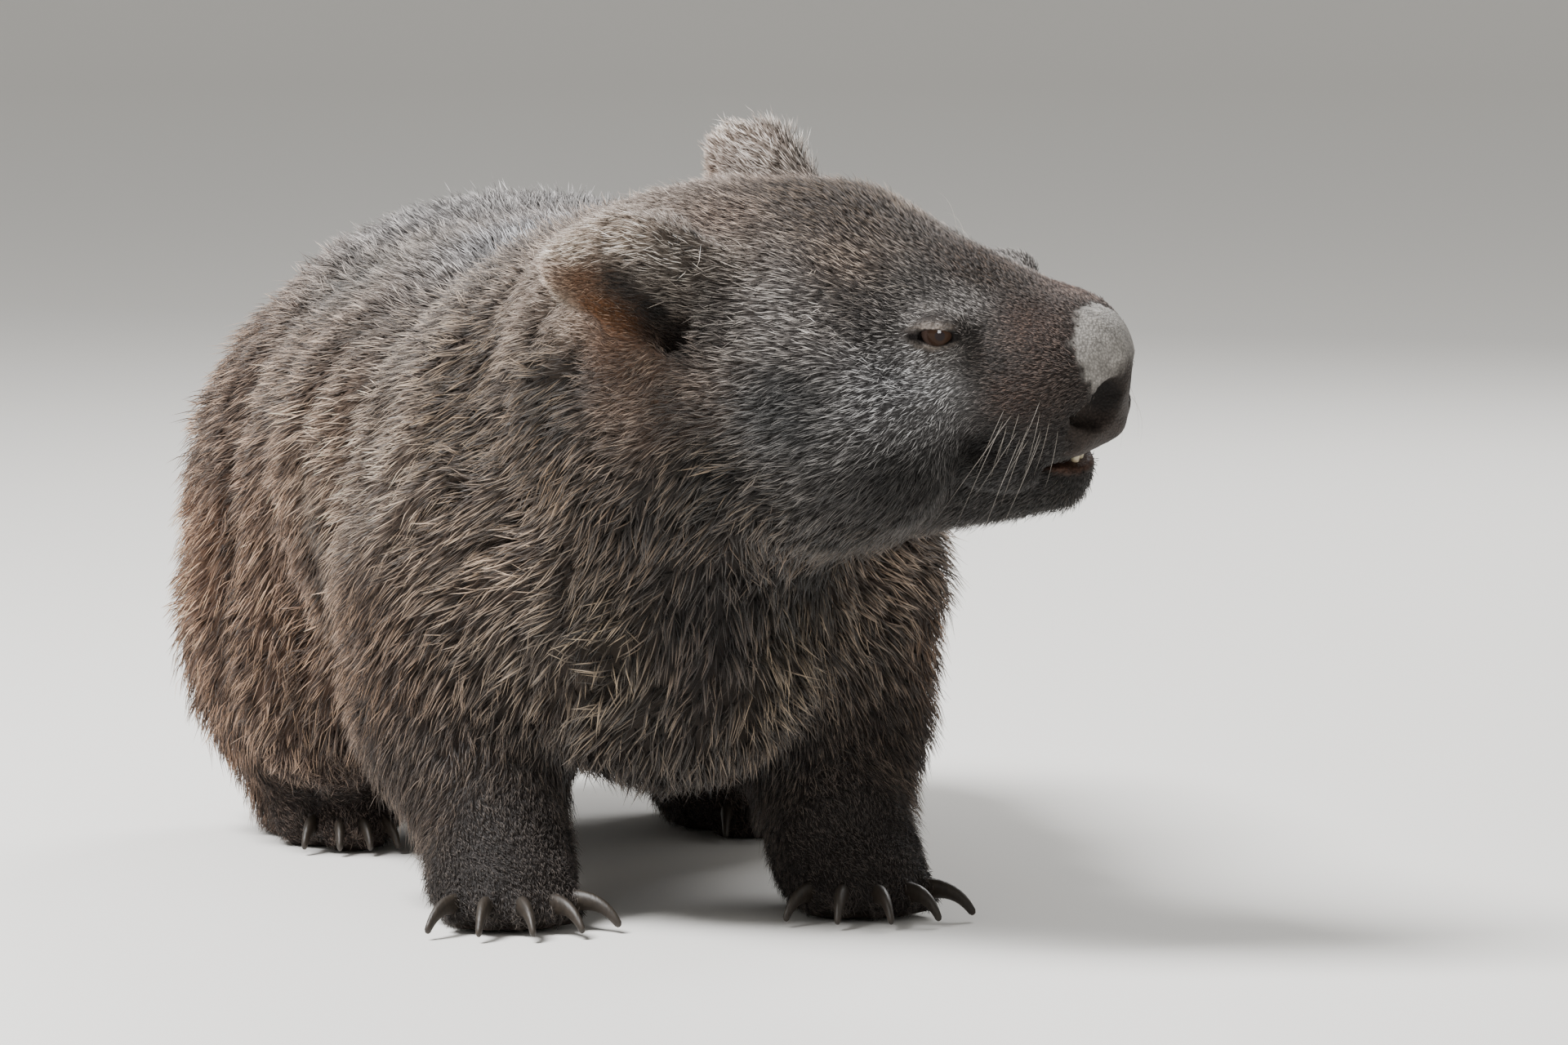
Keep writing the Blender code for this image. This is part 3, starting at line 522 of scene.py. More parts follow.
def shape_skin_folds(clay):
    """Forms too fine for the solids: body creases, nostrils, corners of the mouth, ears and lids."""
    for side in SIDES.values():
        clay.limb((0.150 * side, -0.045, 0.250), (0.140 * side, -0.055, 0.110), (0.004, 0.007),
                  soft=0.018, cut=True)
        clay.limb((0.120 * side, -0.165, 0.290), (0.125 * side, -0.190, 0.200), (0.004, 0.006),
                  soft=0.016, cut=True)
        clay.egg((0.0135 * side, -0.201, -0.053), (0.0062, 0.0120, 0.0068), HEAD, turned(-38 * side, 0, 28 * side),
                 0.003, True)
        clay.egg((0.035 * side, -0.154, MOUTH), (0.009, 0.018, 0.009), HEAD, soft=0.010)
        ear = ear_place(side)
        clay.limb((0.019 * side, 0.002, -0.004), (0.019 * side, 0.001, 0.030), (0.010, 0.006), ear, soft=0.005)
        clay.limb((-0.010 * side, 0.008, -0.004), (-0.003 * side, 0.006, 0.030), (0.009, 0.007), ear,
                  soft=0.003, cut=True)
        x, y, z = outwards(EYE, side)
        corners = (x + 0.0085 * side, y - 0.0120, z + 0.0004), (x + 0.0105 * side, y + 0.0115, z - 0.0012)
        clay.limb(*corners, (0.0027, 0.0024), HEAD, soft=0.001, cut=True)
        for rise, far in ((0.0072, 0.0075), (-0.0062, 0.0080), (-0.0100, 0.0085)):
            ends = (x + far * side, y - 0.010, z + rise), (x + (far + 0.002) * side, y + 0.011, z + rise * 0.8)
            clay.limb(*ends, (0.0010, 0.0010), HEAD, soft=0.0025, cut=True)


def thin_places(points):
    """How much of the coat's depth the skin can sink: little in the thin ears, and nothing at the lids."""
    share = np.ones(len(points))
    for side in SIDES.values():
        lid = np.linalg.norm(points - HEAD.point(outwards(EYE, side)), axis=1)
        ear = np.linalg.norm(points - ear_place(side).point((0, 0, 0.030)), axis=1)
        share = np.minimum(share, ramp(lid - 0.013, 0.007))
        share = np.minimum(share, np.clip((ear - 0.030) / 0.010, 0.15, 1))
    return share


def loose_folds(points):
    """The height, from -1 to 1, of the rolls of loose skin on the flanks, neck and shoulders."""
    x, y, z = (points - BODY.at).T
    wander = ripple(points, 26, 31)
    upright = np.abs(np.sin(math.pi * y / FLANK_ROLL + 0.9 * wander[:, 0] + 5 * z)) * 2.4 - 1.4
    around = np.abs(np.sin(math.pi * (y + 0.8 * z) / NECK_ROLL + 0.8 * wander[:, 1])) * 2.4 - 1.4
    flank = ramp(np.abs(x) - 0.07, 0.05) * ramp(0.285 - z, 0.05) * ramp(y + 0.13, 0.05)
    neck = ramp(np.abs(x) - 0.045, 0.03) * ramp(-0.13 - y, 0.03) * ramp(z - 0.15, 0.04)
    for spot, clear in (((0, -0.07, -0.04), 0.105), ((0, -0.15, -0.05), 0.070)):
        neck *= ramp(np.linalg.norm(points - HEAD.point(spot), axis=1) - clear, 0.02)
    patches = 0.45 + 0.55 * np.clip(wander[:, 2] + 0.5, 0, 1)
    return upright * flank * patches + around * neck * patches


def skin_arrays():
    """The skin's points and four-sided faces: coarse on the trunk, and fine on the head."""
    middle = HEAD.point(HEAD_MIDDLE)
    trunk = Clay(*TRUNK_BOX, TRUNK_STEP)
    face = Clay(middle - HEAD_REACH - HEAD_MARGIN, middle + HEAD_REACH + HEAD_MARGIN, HEAD_STEP)
    parts, count = [], 0
    for clay, inside in ((trunk, False), (face, True)):
        shape_all(clay)
        shape_skin_folds(clay)
        points, quads = clay.surface()
        far = np.linalg.norm(points[quads].mean(1) - middle, axis=1)
        quads = quads[far < HEAD_REACH] if inside else quads[far > HEAD_REACH - SEAM]
        used, quads = np.unique(quads, return_inverse=True)
        parts.append((points[used], quads.reshape(-1, 4) + count))
        count += len(used)
    return np.concatenate([part[0] for part in parts]), np.concatenate([part[1] for part in parts])


def mesh_from(name, points, faces, sides):
    """A mesh from arrays of points and of faces with this many corners each."""
    mesh = bpy.data.meshes.new(name)
    mesh.vertices.add(len(points))
    mesh.vertices.foreach_set("co", np.asarray(points, np.float32).ravel())
    mesh.loops.add(faces.size)
    mesh.loops.foreach_set("vertex_index", faces.astype(np.int32).ravel())
    mesh.polygons.add(len(faces))
    mesh.polygons.foreach_set("loop_start", np.arange(0, faces.size, sides, dtype=np.int32))
    mesh.update(calc_edges=True)
    mesh.shade_smooth()
    return mesh


def add_object(name, mesh, *materials):
    made = bpy.data.objects.new(name, mesh)
    bpy.context.scene.collection.objects.link(made)
    for material in materials:
        mesh.materials.append(material)
    return made


def paint(mesh, name, colours):
    """Stores a linear colour for each vertex."""
    layer = mesh.color_attributes.new(name, "FLOAT_COLOR", "POINT")
    rows = np.ones((len(colours), 4), np.float32)
    rows[:, :3] = np.clip(colours, 0, 1)
    layer.data.foreach_set("color", rows.ravel())


def read_mesh(mesh):
    points = np.empty(len(mesh.vertices) * 3, np.float32)
    mesh.vertices.foreach_get("co", points)
    corners = np.empty(len(mesh.loops), np.int32)
    mesh.loops.foreach_get("vertex_index", corners)
    return points.reshape(-1, 3).astype(float), corners.reshape(-1, 4)


def corner_normals(points, faces):
    """The surface's normal at each point, and the area of each face."""
    across = np.cross(points[faces[:, 2]] - points[faces[:, 0]], points[faces[:, 3]] - points[faces[:, 1]])
    total = np.zeros_like(points)
    for k in range(4):
        np.add.at(total, faces[:, k], across)
    return unit(total), np.linalg.norm(across, axis=1) / 2


def node(tree, kind, links=(), **settings):
    """Adds a node with its settings, and links sockets into it by name or number."""
    made = tree.nodes.new(kind)
    for key, value in settings.items():
        if key.startswith("in_"):
            made.inputs[int(key[3:]) if key[3:].isdigit() else key[3:].replace("_", " ")].default_value = value
        else:
            setattr(made, key, value)
    for source, target in links:
        tree.links.new(source, made.inputs[target])
    return made


def new_material(name, **values):
    """A Principled material with these constant values, its tree and its shader."""
    material = bpy.data.materials.new(name)
    material.use_nodes = True
    shader = material.node_tree.nodes["Principled BSDF"]
    for key, value in values.items():
        shader.inputs[key.replace("_", " ")].default_value = value
    return material, material.node_tree, shader


def texture(tree, kind, **settings):
    """A texture fixed to the object's own metres."""
    where = node(tree, "ShaderNodeTexCoord")
    return node(tree, kind, [(where.outputs["Object"], "Vector")], **settings)


def mix(tree, source, low, high):
    """A colour that runs from one hex code to the other with the source."""
    tone = node(tree, "ShaderNodeValToRGB", [(source, "Fac")])
    for stop, code in zip(tone.color_ramp.elements, (low, high)):
        stop.color = (*linear(code), 1)
    return tone.outputs["Color"]


def bump(tree, source, shader, **settings):
    """Raises the surface with the source."""
    raised = node(tree, "ShaderNodeBump", [(source, "Height")], **settings)
    tree.links.new(raised.outputs["Normal"], shader.inputs["Normal"])
    return raised


def coat_colour(tree):
    """The colour painted on each vertex of the skin and coat."""
    return node(tree, "ShaderNodeAttribute", attribute_name="Coat").outputs["Color"]


def fur_material(name):
    """Guard hair: coarse keratin fibres, matt with a soft broad gleam along each tuft."""
    material, tree, shader = new_material(name, Roughness=0.62, Specular_IOR_Level=0.35, Sheen_Weight=0.12,
                                          Sheen_Roughness=0.5)
    tree.links.new(coat_colour(tree), shader.inputs["Base Color"])
    return material


def hide_material():
    """Skin under the coat: dull and finely wrinkled, seen only where the coat parts."""
    material, tree, shader = new_material("hide", Roughness=0.75, Specular_IOR_Level=0.3)
    # fine wrinkles about 2 mm apart
    wrinkle = texture(tree, "ShaderNodeTexNoise", in_Scale=500.0, in_Detail=3.0)
    bump(tree, wrinkle.outputs["Fac"], shader, in_Strength=0.35, in_Distance=0.001)
    tree.links.new(coat_colour(tree), shader.inputs["Base Color"])
    return material


def nose_material():
    """Bare nose leather: dry, grey and pebbled, paler on each pebble's top, with painted shade in the creases between
    the pebbles.
    """
    material, tree, shader = new_material("nose leather", Roughness=0.6, Specular_IOR_Level=0.12)
    # pebbles about 1.2 mm across
    pebble = texture(tree, "ShaderNodeTexVoronoi", in_Scale=850.0)
    cloud = texture(tree, "ShaderNodeTexNoise", in_Scale=160.0, in_Detail=5.0)
    # painted shade: the colour darkens from each pebble's top into the creases between the pebbles
    shade = node(tree, "ShaderNodeMapRange", [(pebble.outputs["Distance"], "Value")],
                 in_1=0.1, in_2=0.75, in_3=1.22, in_4=0.62)
    mottle = node(tree, "ShaderNodeMapRange", [(cloud.outputs["Fac"], "Value")],
                  in_1=0.3, in_2=0.7, in_3=0.72, in_4=1.28)
    both = node(tree, "ShaderNodeMath", [(shade.outputs[0], 0), (mottle.outputs[0], 1)], operation="MULTIPLY")
    tint = node(tree, "ShaderNodeVectorMath", [(coat_colour(tree), 0), (both.outputs[0], 3)], operation="SCALE")
    coarse = node(tree, "ShaderNodeBump", [(pebble.outputs["Distance"], "Height")],
                  in_Strength=0.5, in_Distance=0.0006, invert=True)
    fine = bump(tree, cloud.outputs["Fac"], shader, in_Strength=0.3, in_Distance=0.002)
    tree.links.new(coarse.outputs["Normal"], fine.inputs["Normal"])
    tree.links.new(tint.outputs["Vector"], shader.inputs["Base Color"])
    return material


class CoatSettings(bpy.types.PropertyGroup):
    """The sizes of the coat."""

    depth: FloatProperty(name="Depth", description="Share of the coat's height that the skin lies under the solids",
                         default=0.9, min=0.2, max=1.2)
    folds: FloatProperty(name="Folds", description="Height of the rolls of loose skin", default=0.0065, unit="LENGTH")
    wool: FloatProperty(name="Undercoat", description="How many times over the undercoat covers the skin",
                        default=0.75, min=0, max=8)
    guard: FloatProperty(name="Guard hair", description="How many times over the guard hairs cover the skin",
                         default=1.6, min=0, max=8)
    slim: FloatProperty(name="Slimness", description="Width of a guard hair as a share of its length", default=0.031,
                        min=0.005, max=0.1)
    clump: FloatProperty(name="Clump", description="Width of a clump as a share of the hair's length", default=0.25,
                         min=0.05, max=2)
    lock: FloatProperty(name="Lock", description="Width of the large locks", default=0.020, unit="LENGTH")
    pull: FloatProperty(name="Pull", description="How far the tips draw together", default=0.44, min=0, max=1)


class WOMBAT_OT_skin(bpy.types.Operator):
    """Make the whole skin, with the bare nose, lips, lids and soles"""

    bl_idname = "wombat.skin"
    bl_label = "Skin"

    def execute(self, context):
        points, quads = skin_arrays()
        values, _ = read_chart(points)
        bare, bare_colour = read_bare(points)
        normals, _ = corner_normals(points, quads)
        settings, fold = context.scene.wombat_coat, loose_folds(points)
        inset = values[:, 3] * np.sin(values[:, 4]) * settings.depth * (1 - bare) * thin_places(points)
        inset -= settings.folds * fold
        points = points - normals * (inset + CLEAR)[:, None]
        points[:, 2] = np.maximum(points[:, 2], SKIN_LOWEST)
        under = values[:, 5:8] * SKIN_SHADE
        colours = under * (1 - bare[:, None]) + bare_colour * bare[:, None]
        skin = add_object("skin", mesh_from("skin", points, quads, 4), hide_material(), nose_material())
        paint(skin.data, "Coat", colours)
        thin = skin.data.attributes.new("bare", "FLOAT", "POINT")
        thin.data.foreach_set("value", bare.astype(np.float32))
        rolls = skin.data.attributes.new("fold", "FLOAT", "POINT")
        rolls.data.foreach_set("value", fold.astype(np.float32))
        skin.data.polygons.foreach_set("material_index", (bare[quads].mean(1) > 0.5).astype(np.int32))
        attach(skin, "root")
        kept = ("eye", "foreclaw", "hindclaw", "lower_incisors")
        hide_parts(*[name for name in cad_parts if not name.startswith(kept)])
        return {"FINISHED"}


def unwrap(points, faces):
    """Flattens these faces into the unit square, and returns each corner's place there."""
    used, local = np.unique(faces, return_inverse=True)
    mesh = mesh_from("unwrap", points[used], local.reshape(-1, 4), 4)
    mesh.uv_layers.new(name="flat")
    made = add_object("unwrap", mesh)
    bpy.context.view_layer.objects.active = made
    bpy.ops.object.mode_set(mode="EDIT")
    bpy.ops.mesh.select_all(action="SELECT")
    bpy.ops.uv.smart_project(angle_limit=math.radians(66), island_margin=0.004)
    bpy.ops.object.mode_set(mode="OBJECT")
    flat = np.empty(len(mesh.loops) * 2, np.float32)
    mesh.uv_layers["flat"].data.foreach_get("uv", flat)
    bpy.data.objects.remove(made)
    bpy.data.meshes.remove(mesh)
    return flat.reshape(-1, 4, 2)


def clefts(points):
    """How much of the light reaches the coat, less where it parts over a deep crease."""
    light = np.ones(len(points))
    for kind, start, end, wide, depth in CLEFTS:
        for side in SIDES.values():
            start_here, end_here = (place_of(kind, side).point(outwards(spot, side)) for spot in (start, end))
            along = end_here - start_here
            share = np.clip((points - start_here) @ along / (along @ along), 0, 1)
            far = np.linalg.norm(points - start_here - share[:, None] * along, axis=1)
            far += 0.25 * wide * ripple(points, 300, 15)[:, 0]
            light *= 1 - depth * np.exp(-(far / wide) ** 2)
    return light


def gather(points, size, seed):
    """Sorts points into ragged cells of about this size, and returns each point's cell number."""
    warped = points + 0.35 * size * ripple(points, 400, seed)
    cells = np.column_stack([np.floor(warped / size), np.broadcast_to(np.round(size * 5000), (len(points), 1))])
    return np.unique(cells.astype(np.int64), axis=0, return_inverse=True)[1].ravel()


def mean_in(cell, rows):
    """The mean of the rows in each row's own cell."""
    count = np.bincount(cell)[:, None]
    return (np.stack([np.bincount(cell, rows[:, k]) for k in range(3)], 1) / count)[cell]


def scatter(chance, dice):
    """Faces picked with this many roots expected on each, and each root's place across its face."""
    total = np.cumsum(chance)
    count = int(total[-1])
    picks = np.searchsorted(total, (np.arange(count) + dice.random(count)) * total[-1] / count)
    u, v = dice.random(count), dice.random(count)
    return np.minimum(picks, len(chance) - 1), np.stack([(1 - u) * (1 - v), u * (1 - v), u * v, (1 - u) * v], 1)


class Hide:
    """The finished skin as arrays, with the chart's values on each of its faces."""

    def __init__(self, skin):
        self.points, self.faces = read_mesh(skin.data)
        self.normals, self.areas = corner_normals(self.points, self.faces)
        self.middles = self.points[self.faces].mean(1)
        self.values, self.groups = read_chart(self.middles)
        self.bare, self.fold = (self.mean_of(skin, name) for name in ("bare", "fold"))

    def mean_of(self, skin, name):
        each = np.empty(len(self.points), np.float32)
        skin.data.attributes[name].data.foreach_get("value", each)
        return each[self.faces].mean(1)


class Layer:
    """The hairs of one layer of the coat. Chance varies them by clump, by large lock and one by one."""

    def __init__(self, hide, settings, guard):
        self.settings, self.guard, self.dice = settings, guard, np.random.default_rng(11 if guard else 12)
        stretch, slim, cover = 1.0, settings.slim, settings.guard
        if not guard:
            stretch, slim, cover = WOOL_LENGTH, WOOL_SLIM, settings.wool
        length = hide.values[:, 3] * stretch
        width = np.maximum(slim * length, THINNEST)
        chance = hide.areas * cover / (length * width) * np.clip(1 - 1.15 * hide.bare, 0, 1)
        chance[hide.middles[:, 2] < SOLE_HEIGHT] = 0
        self.picks, self.share = scatter(chance, self.dice)
        corners, self.values = hide.faces[self.picks], hide.values[self.picks]
        self.root = (hide.points[corners] * self.share[..., None]).sum(1)
        self.normal = unit((hide.normals[corners] * self.share[..., None]).sum(1))
        self.fold, self.length, self.width = hide.fold[self.picks], length[self.picks], width[self.picks, None]
        # a clump's width is a share of its hairs' rough length, taken in three steps
        full = self.values[:, 3]
        rough = np.select([full > 0.0125, full > 0.007], [0.017, 0.010], 0.005)
        self.clump, self.by_clump = self.shared(settings.clump * rough, 3, 13)
        self.lock, self.by_lock = self.shared(np.full(len(full), settings.lock), 4, 14)
        self.shaggy = np.clip(full / 0.017, 0.4, 1.5)[:, None] ** 2
        self.tight = np.clip(full / 0.016, 0.5, 1)[:, None]

    def shared(self, size, cell_seed, seed):
        """Each hair's cell, about this large, and six values of chance that a cell's hairs share."""
        cell = gather(self.root, size[:, None], cell_seed)
        return cell, np.random.default_rng(seed).normal(size=(cell.max() + 1, 6))[cell]

    def comb(self):
        """Each hair's middle and tip, drawn towards those of its clump and lock, and the way it lies."""
        count, root, normal, dice, shaggy = len(self.root), self.root, self.normal, self.dice, self.shaggy
        clump, lock, own = LIE_VARIES
        sway = 0.20 * shaggy * ripple(root, 120, 5) + 0.16 * ripple(root, 380, 6) + clump * self.by_clump[:, :3]
        lie = self.values[:, 0:3] + sway + lock * shaggy * self.by_lock[:, :3] + own * dice.normal(size=(count, 3))
        lie = unit(lie - (lie * normal).sum(1)[:, None] * normal)
        stray = (dice.random(count) < STRAYS) * self.guard
        clump, lock, own = LIFT_VARIES
        vary = 1 + clump * self.by_clump[:, 3] + lock * self.by_lock[:, 3] + own * dice.normal(size=count)
        lift = (self.values[:, 4] * np.clip(vary + 0.5 * stray, 0.2, 1.9))[:, None]
        clump, _, own = LENGTH_VARIES
        vary = 1 + clump * self.by_clump[:, 4] + own * dice.normal(size=count)
        length = (self.length * np.clip(vary + 0.2 * stray, 0.45, 1.5))[:, None]
        middle = root + length * 0.5 * (np.cos(lift) * lie + np.sin(lift * 1.35) * normal)
        tip = root + length * np.cos(lift) * lie + length * np.sin(lift) * normal

        pull = self.settings.pull * np.clip(1 + 0.4 * self.by_clump[:, 5:], 0.2, 1.5) * (1 - 0.8 * stray[:, None])
        draw = pull * self.tight * (mean_in(self.clump, tip) - tip)
        sweep = 0.24 * shaggy * self.tight * (mean_in(self.lock, tip) - tip)
        middle, tip = middle + 0.35 * draw + 0.4 * sweep, tip + draw + sweep
        # no tip goes under the skin
        tip -= np.clip((normal * (tip - root)).sum(1) - CLEAR, None, 0)[:, None] * normal
        return middle, tip, lie

    def spots(self):
        """Each hair's points, in the order of its row in HAIR."""
        middle, tip, lie = self.comb()
        side = unit(np.cross(lie, self.normal))
        half, up = 0.5 * self.width, unit(np.cross(side, lie))
        low = self.root - self.normal * ROOT_DEPTH[self.guard]
        if self.guard:
            spots = [low, middle + half * side, middle - half * side, middle + 0.8 * half * up, tip]
        else:
            spots = [low + half * side, low - half * side, middle * 0.5 + low * 0.5 + 1.2 * half * up, tip]
        spots = np.stack(spots, 1)
        spots[:, :, 2] = np.maximum(spots[:, :, 2], HAIR_LOWEST)
        return spots

    def shades(self):
        """The colour of each of these points, darkest at the root, with painted shade where the skin folds in and
        along the clefts, and painted light on the tops of the rolls.
        """
        count, root, dice = len(self.root), self.root, self.dice
        under, tips = self.values[:, 5:8], self.values[:, 8:11]
        clump, lock, own = TONE_VARIES
        tone = 1 + clump * self.by_clump[:, :1] + lock * self.shaggy * self.by_lock[:, 1:2]
        tone = tone + own * dice.normal(size=(count, 1)) + 0.18 * ripple(root, 90, 8)[:, :1]
        # painted shade in the valleys between the rolls of loose skin and along the clefts, and painted light on the
        # rolls' tops
        tone = np.clip(tone + 0.42 * np.clip(self.fold, -1.3, 0.6)[:, None], 0.35, 1.8) * clefts(root)[:, None]
        if self.guard:
            bright = dice.random((count, 1)) < BRIGHT_SHARE + 0.16 * ripple(root, 300, 9)[:, 1:2]
            pale = np.clip(np.where(bright, BRIGHT, DULL) + 0.18 * dice.normal(size=(count, 1)), 0.02, 1.35)
            shaft, end = (under * 0.72 + tips * 0.30 * pale**2) * tone, (under * (1 - pale) + tips * pale) * tone
            shades = [under * 0.3, shaft, shaft, shaft, end]
        else:
            shades = [under * 0.32, under * 0.32, under * 0.5 * tone, under * 0.85 * tone + tips * 0.06]
        return np.clip(np.stack(shades, 1), 0, 1)


def grow(hide, settings, guard):
    """One layer of the coat: each hair's points, colours, face and place on it."""
    layer = Layer(hide, settings, guard)
    return layer.spots(), layer.shades(), layer.picks, layer.share


HAIR = {True: np.array([(0, 2, 1), (0, 3, 2), (0, 1, 3), (4, 1, 2), (4, 2, 3), (4, 3, 1)]),
        False: np.array([(0, 2, 1), (3, 0, 1), (3, 1, 2), (3, 2, 0)])}
PATCH = {True: np.array([(0.5, 0.0), (0.0, 0.5), (1.0, 0.5), (0.5, 0.6), (0.5, 1.0)]) * TUFT_PATCH - TUFT_PATCH / 2,
         False: np.array([(0.0, 0.0), (1.0, 0.0), (0.5, 0.4), (0.5, 1.0)]) * TUFT_PATCH - TUFT_PATCH / 2}


def add_coat_piece(name, hide, layer, chosen, guard, material):
    """One piece of the coat, with each hair's patch at its root's place on the unwrapped skin."""
    spots, shades, picks, share = (rows[chosen] for rows in layer)
    local, where = np.unique(picks, return_inverse=True)
    flat = unwrap(hide.points, hide.faces[local])[where]
    corners = HAIR[guard]
    faces = (corners + spots.shape[1] * np.arange(len(chosen))[:, None, None]).reshape(-1, 3)
    mesh = mesh_from(name, spots.reshape(-1, 3), faces, 3)
    paint(mesh, "Coat", shades.reshape(-1, 3))
    at = (flat * share[..., None]).sum(1)
    patch = np.clip(at[:, None, None, :] + PATCH[guard][corners], 0, 1)
    mesh.uv_layers.new(name="OFBake").data.foreach_set("uv", patch.astype(np.float32).ravel())
    piece = add_object(name, mesh, material)
    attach(piece, "root")


class WOMBAT_OT_coat(bpy.types.Operator):
    """Grow the woolly undercoat and the guard hairs over the skin, in pieces by part of the body"""

    bl_idname = "wombat.coat"
    bl_label = "Coat"

    def execute(self, context):
        hide = Hide(bpy.data.objects["skin"])
        kinds = {True: fur_material("guard hair"), False: fur_material("undercoat")}
        for guard, material in kinds.items():
            layer = grow(hide, context.scene.wombat_coat, guard)
            root, faces = layer[0][:, 0], len(HAIR[guard])
            part = hide.groups[layer[2]]
            if not guard:
                part = np.isin(part, [GROUPS.index(name) for name in ("crown", "cheek", "jaw", "muzzle", "ear")])
            part = part * 2 + (root[:, 0] > BODY.at[0])
            for number in np.unique(part):
                whole = np.nonzero(part == number)[0]
                whole = whole[np.argsort(root[whole, 1], kind="stable")]
                side = ("right", "left")[number % 2]
                place = GROUPS[number // 2] if guard else ("trunk", "head")[number // 2]
                pieces = np.array_split(whole, 1 + len(whole) * faces // MOST_FACES)
                for share, chosen in enumerate(pieces, 1):
                    name = f"{'guard' if guard else 'wool'}_{place}_{side}_{share}"
                    add_coat_piece(name, hide, layer, chosen, guard, material)
        return {"FINISHED"}


class FaceSettings(bpy.types.PropertyGroup):
    """The eyes and whiskers."""

    iris: FloatVectorProperty(name="Iris", description="Colour of the iris", subtype="COLOR",
                              default=linear("130C08"), min=0, max=1)
    whiskers: IntProperty(name="Whiskers", description="Whiskers on each side of the muzzle", default=17, min=0)
    whisker_length: FloatProperty(name="Whisker length", description="Length of the longest", default=0.062,
                                  unit="LENGTH")
    whisker_width: FloatProperty(name="Whisker width", description="Thickness at the root", default=0.00019,
                                 unit="LENGTH")


def add_aimed(name, data, spot, aim):
    """A light or camera in this place, looking along aim."""
    made = add_object(name, data)
    made.location, made.rotation_mode = spot, "QUATERNION"
    made.rotation_quaternion = aim.to_track_quat("-Z", "Y")
    return made


def closed(shape, name, *materials):
    """The finished shape as an object, its faces turned outwards."""
    if shape.calc_volume(signed=True) < 0:
        bmesh.ops.reverse_faces(shape, faces=shape.faces)
    mesh = bpy.data.meshes.new(name)
    shape.to_mesh(mesh)
    shape.free()
    mesh.shade_smooth()
    return add_object(name, mesh, *materials)


def add_horn(shape, path, widths, flat, across, rings=14, sides=12, blunt=0.35):
    """A tapered solid along a bent path of three places, added to the shape. blunt rounds its tip."""
    start, bend, end = (Vector(spot) for spot in path)
    across = Vector(across).normalized()
    made = bmesh.ops.create_uvsphere(shape, u_segments=sides, v_segments=rings, radius=1.0)
    for corner in made["verts"]:
        share = (1 - corner.co.z) / 2
        middle = start * (1 - share) ** 2 + bend * 2 * share * (1 - share) + end * share**2
        along = ((bend - start) * (1 - share) + (end - bend) * share).normalized()
        up = along.cross(across).normalized()
        side = up.cross(along)
        off = max(1e-6, math.hypot(corner.co.x, corner.co.y))
        width = (widths[0] + (widths[1] - widths[0]) * share) * min(1.0, off / blunt)
        spread = (side * corner.co.x * flat + up * corner.co.y) / off
        corner.co = middle + spread * width


def eye_material(iris):
    """Glass eye: a clear cornea over a dark brown iris and a round pupil, ringed by a dark rim."""
    material, tree, shader = new_material("glass eye", Roughness=0.04, Specular_IOR_Level=0.05)
    mark = node(tree, "ShaderNodeAttribute", attribute_name="iris")
    tone = node(tree, "ShaderNodeValToRGB", [(mark.outputs["Fac"], "Fac")])
    stops = tone.color_ramp.elements
    stops[0].position, stops[0].color = 0.0, PUPIL_COLOUR
    stops[1].position, stops[1].color = 1.0, (*linear("1C1512"), 1)
    for place, colour in ((0.30, PUPIL_COLOUR), (0.36, (*iris, 1)), (0.78, (*iris, 1)),
                          (0.88, (*linear("120C09"), 1))):
        stop = stops.new(place)
        stop.color = colour
    tree.links.new(tone.outputs["Color"], shader.inputs["Base Color"])
    return material


class WOMBAT_OT_eyes(bpy.types.Operator):
    """Set the two glass eyes behind their lids"""

    bl_idname = "wombat.eyes"
    bl_label = "Eyes"

    def execute(self, context):
        material = eye_material(context.scene.wombat_face.iris)
        for name, side in SIDES.items():
            shape = bmesh.new()
            bmesh.ops.create_uvsphere(shape, u_segments=48, v_segments=32, radius=1.0)
            centre = Vector(HEAD.point(outwards(EYE, side)))
            aim = Vector(HEAD.way(outwards(EYE_AIM, side)))
            turn = aim.to_track_quat("Z", "Y")
            layer = shape.verts.layers.float.new("iris")
            for corner in shape.verts:
                far = math.acos(max(-1.0, min(1.0, corner.co.z)))
                corner[layer] = min(1.0, far / CORNEA)
                bulge = 1 + CORNEA_RISE * max(0.0, 1 - (far / CORNEA) ** 2)
                corner.co = centre + turn @ (corner.co * (EYE_RADIUS - CLEAR) * bulge)
            eye = closed(shape, f"glass_eye_{name}", material)
            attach(eye, "root")
            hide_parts(f"eye_{name}")
        return {"FINISHED"}


def claw_material():
    """Digging claws: dark horn, scuffed and grooved along its length."""
    material, tree, shader = new_material("claw horn", Roughness=0.52)
    along = texture(tree, "ShaderNodeMapping", in_Scale=(900, 120, 300))
    groove = node(tree, "ShaderNodeTexNoise", [(along.outputs["Vector"], "Vector")], in_Scale=1.0, in_Detail=4.0)
    bump(tree, groove.outputs["Fac"], shader, in_Strength=0.4, in_Distance=0.0006)
    tree.links.new(mix(tree, groove.outputs["Fac"], "14110E", "3D342B"), shader.inputs["Base Color"])
    return material


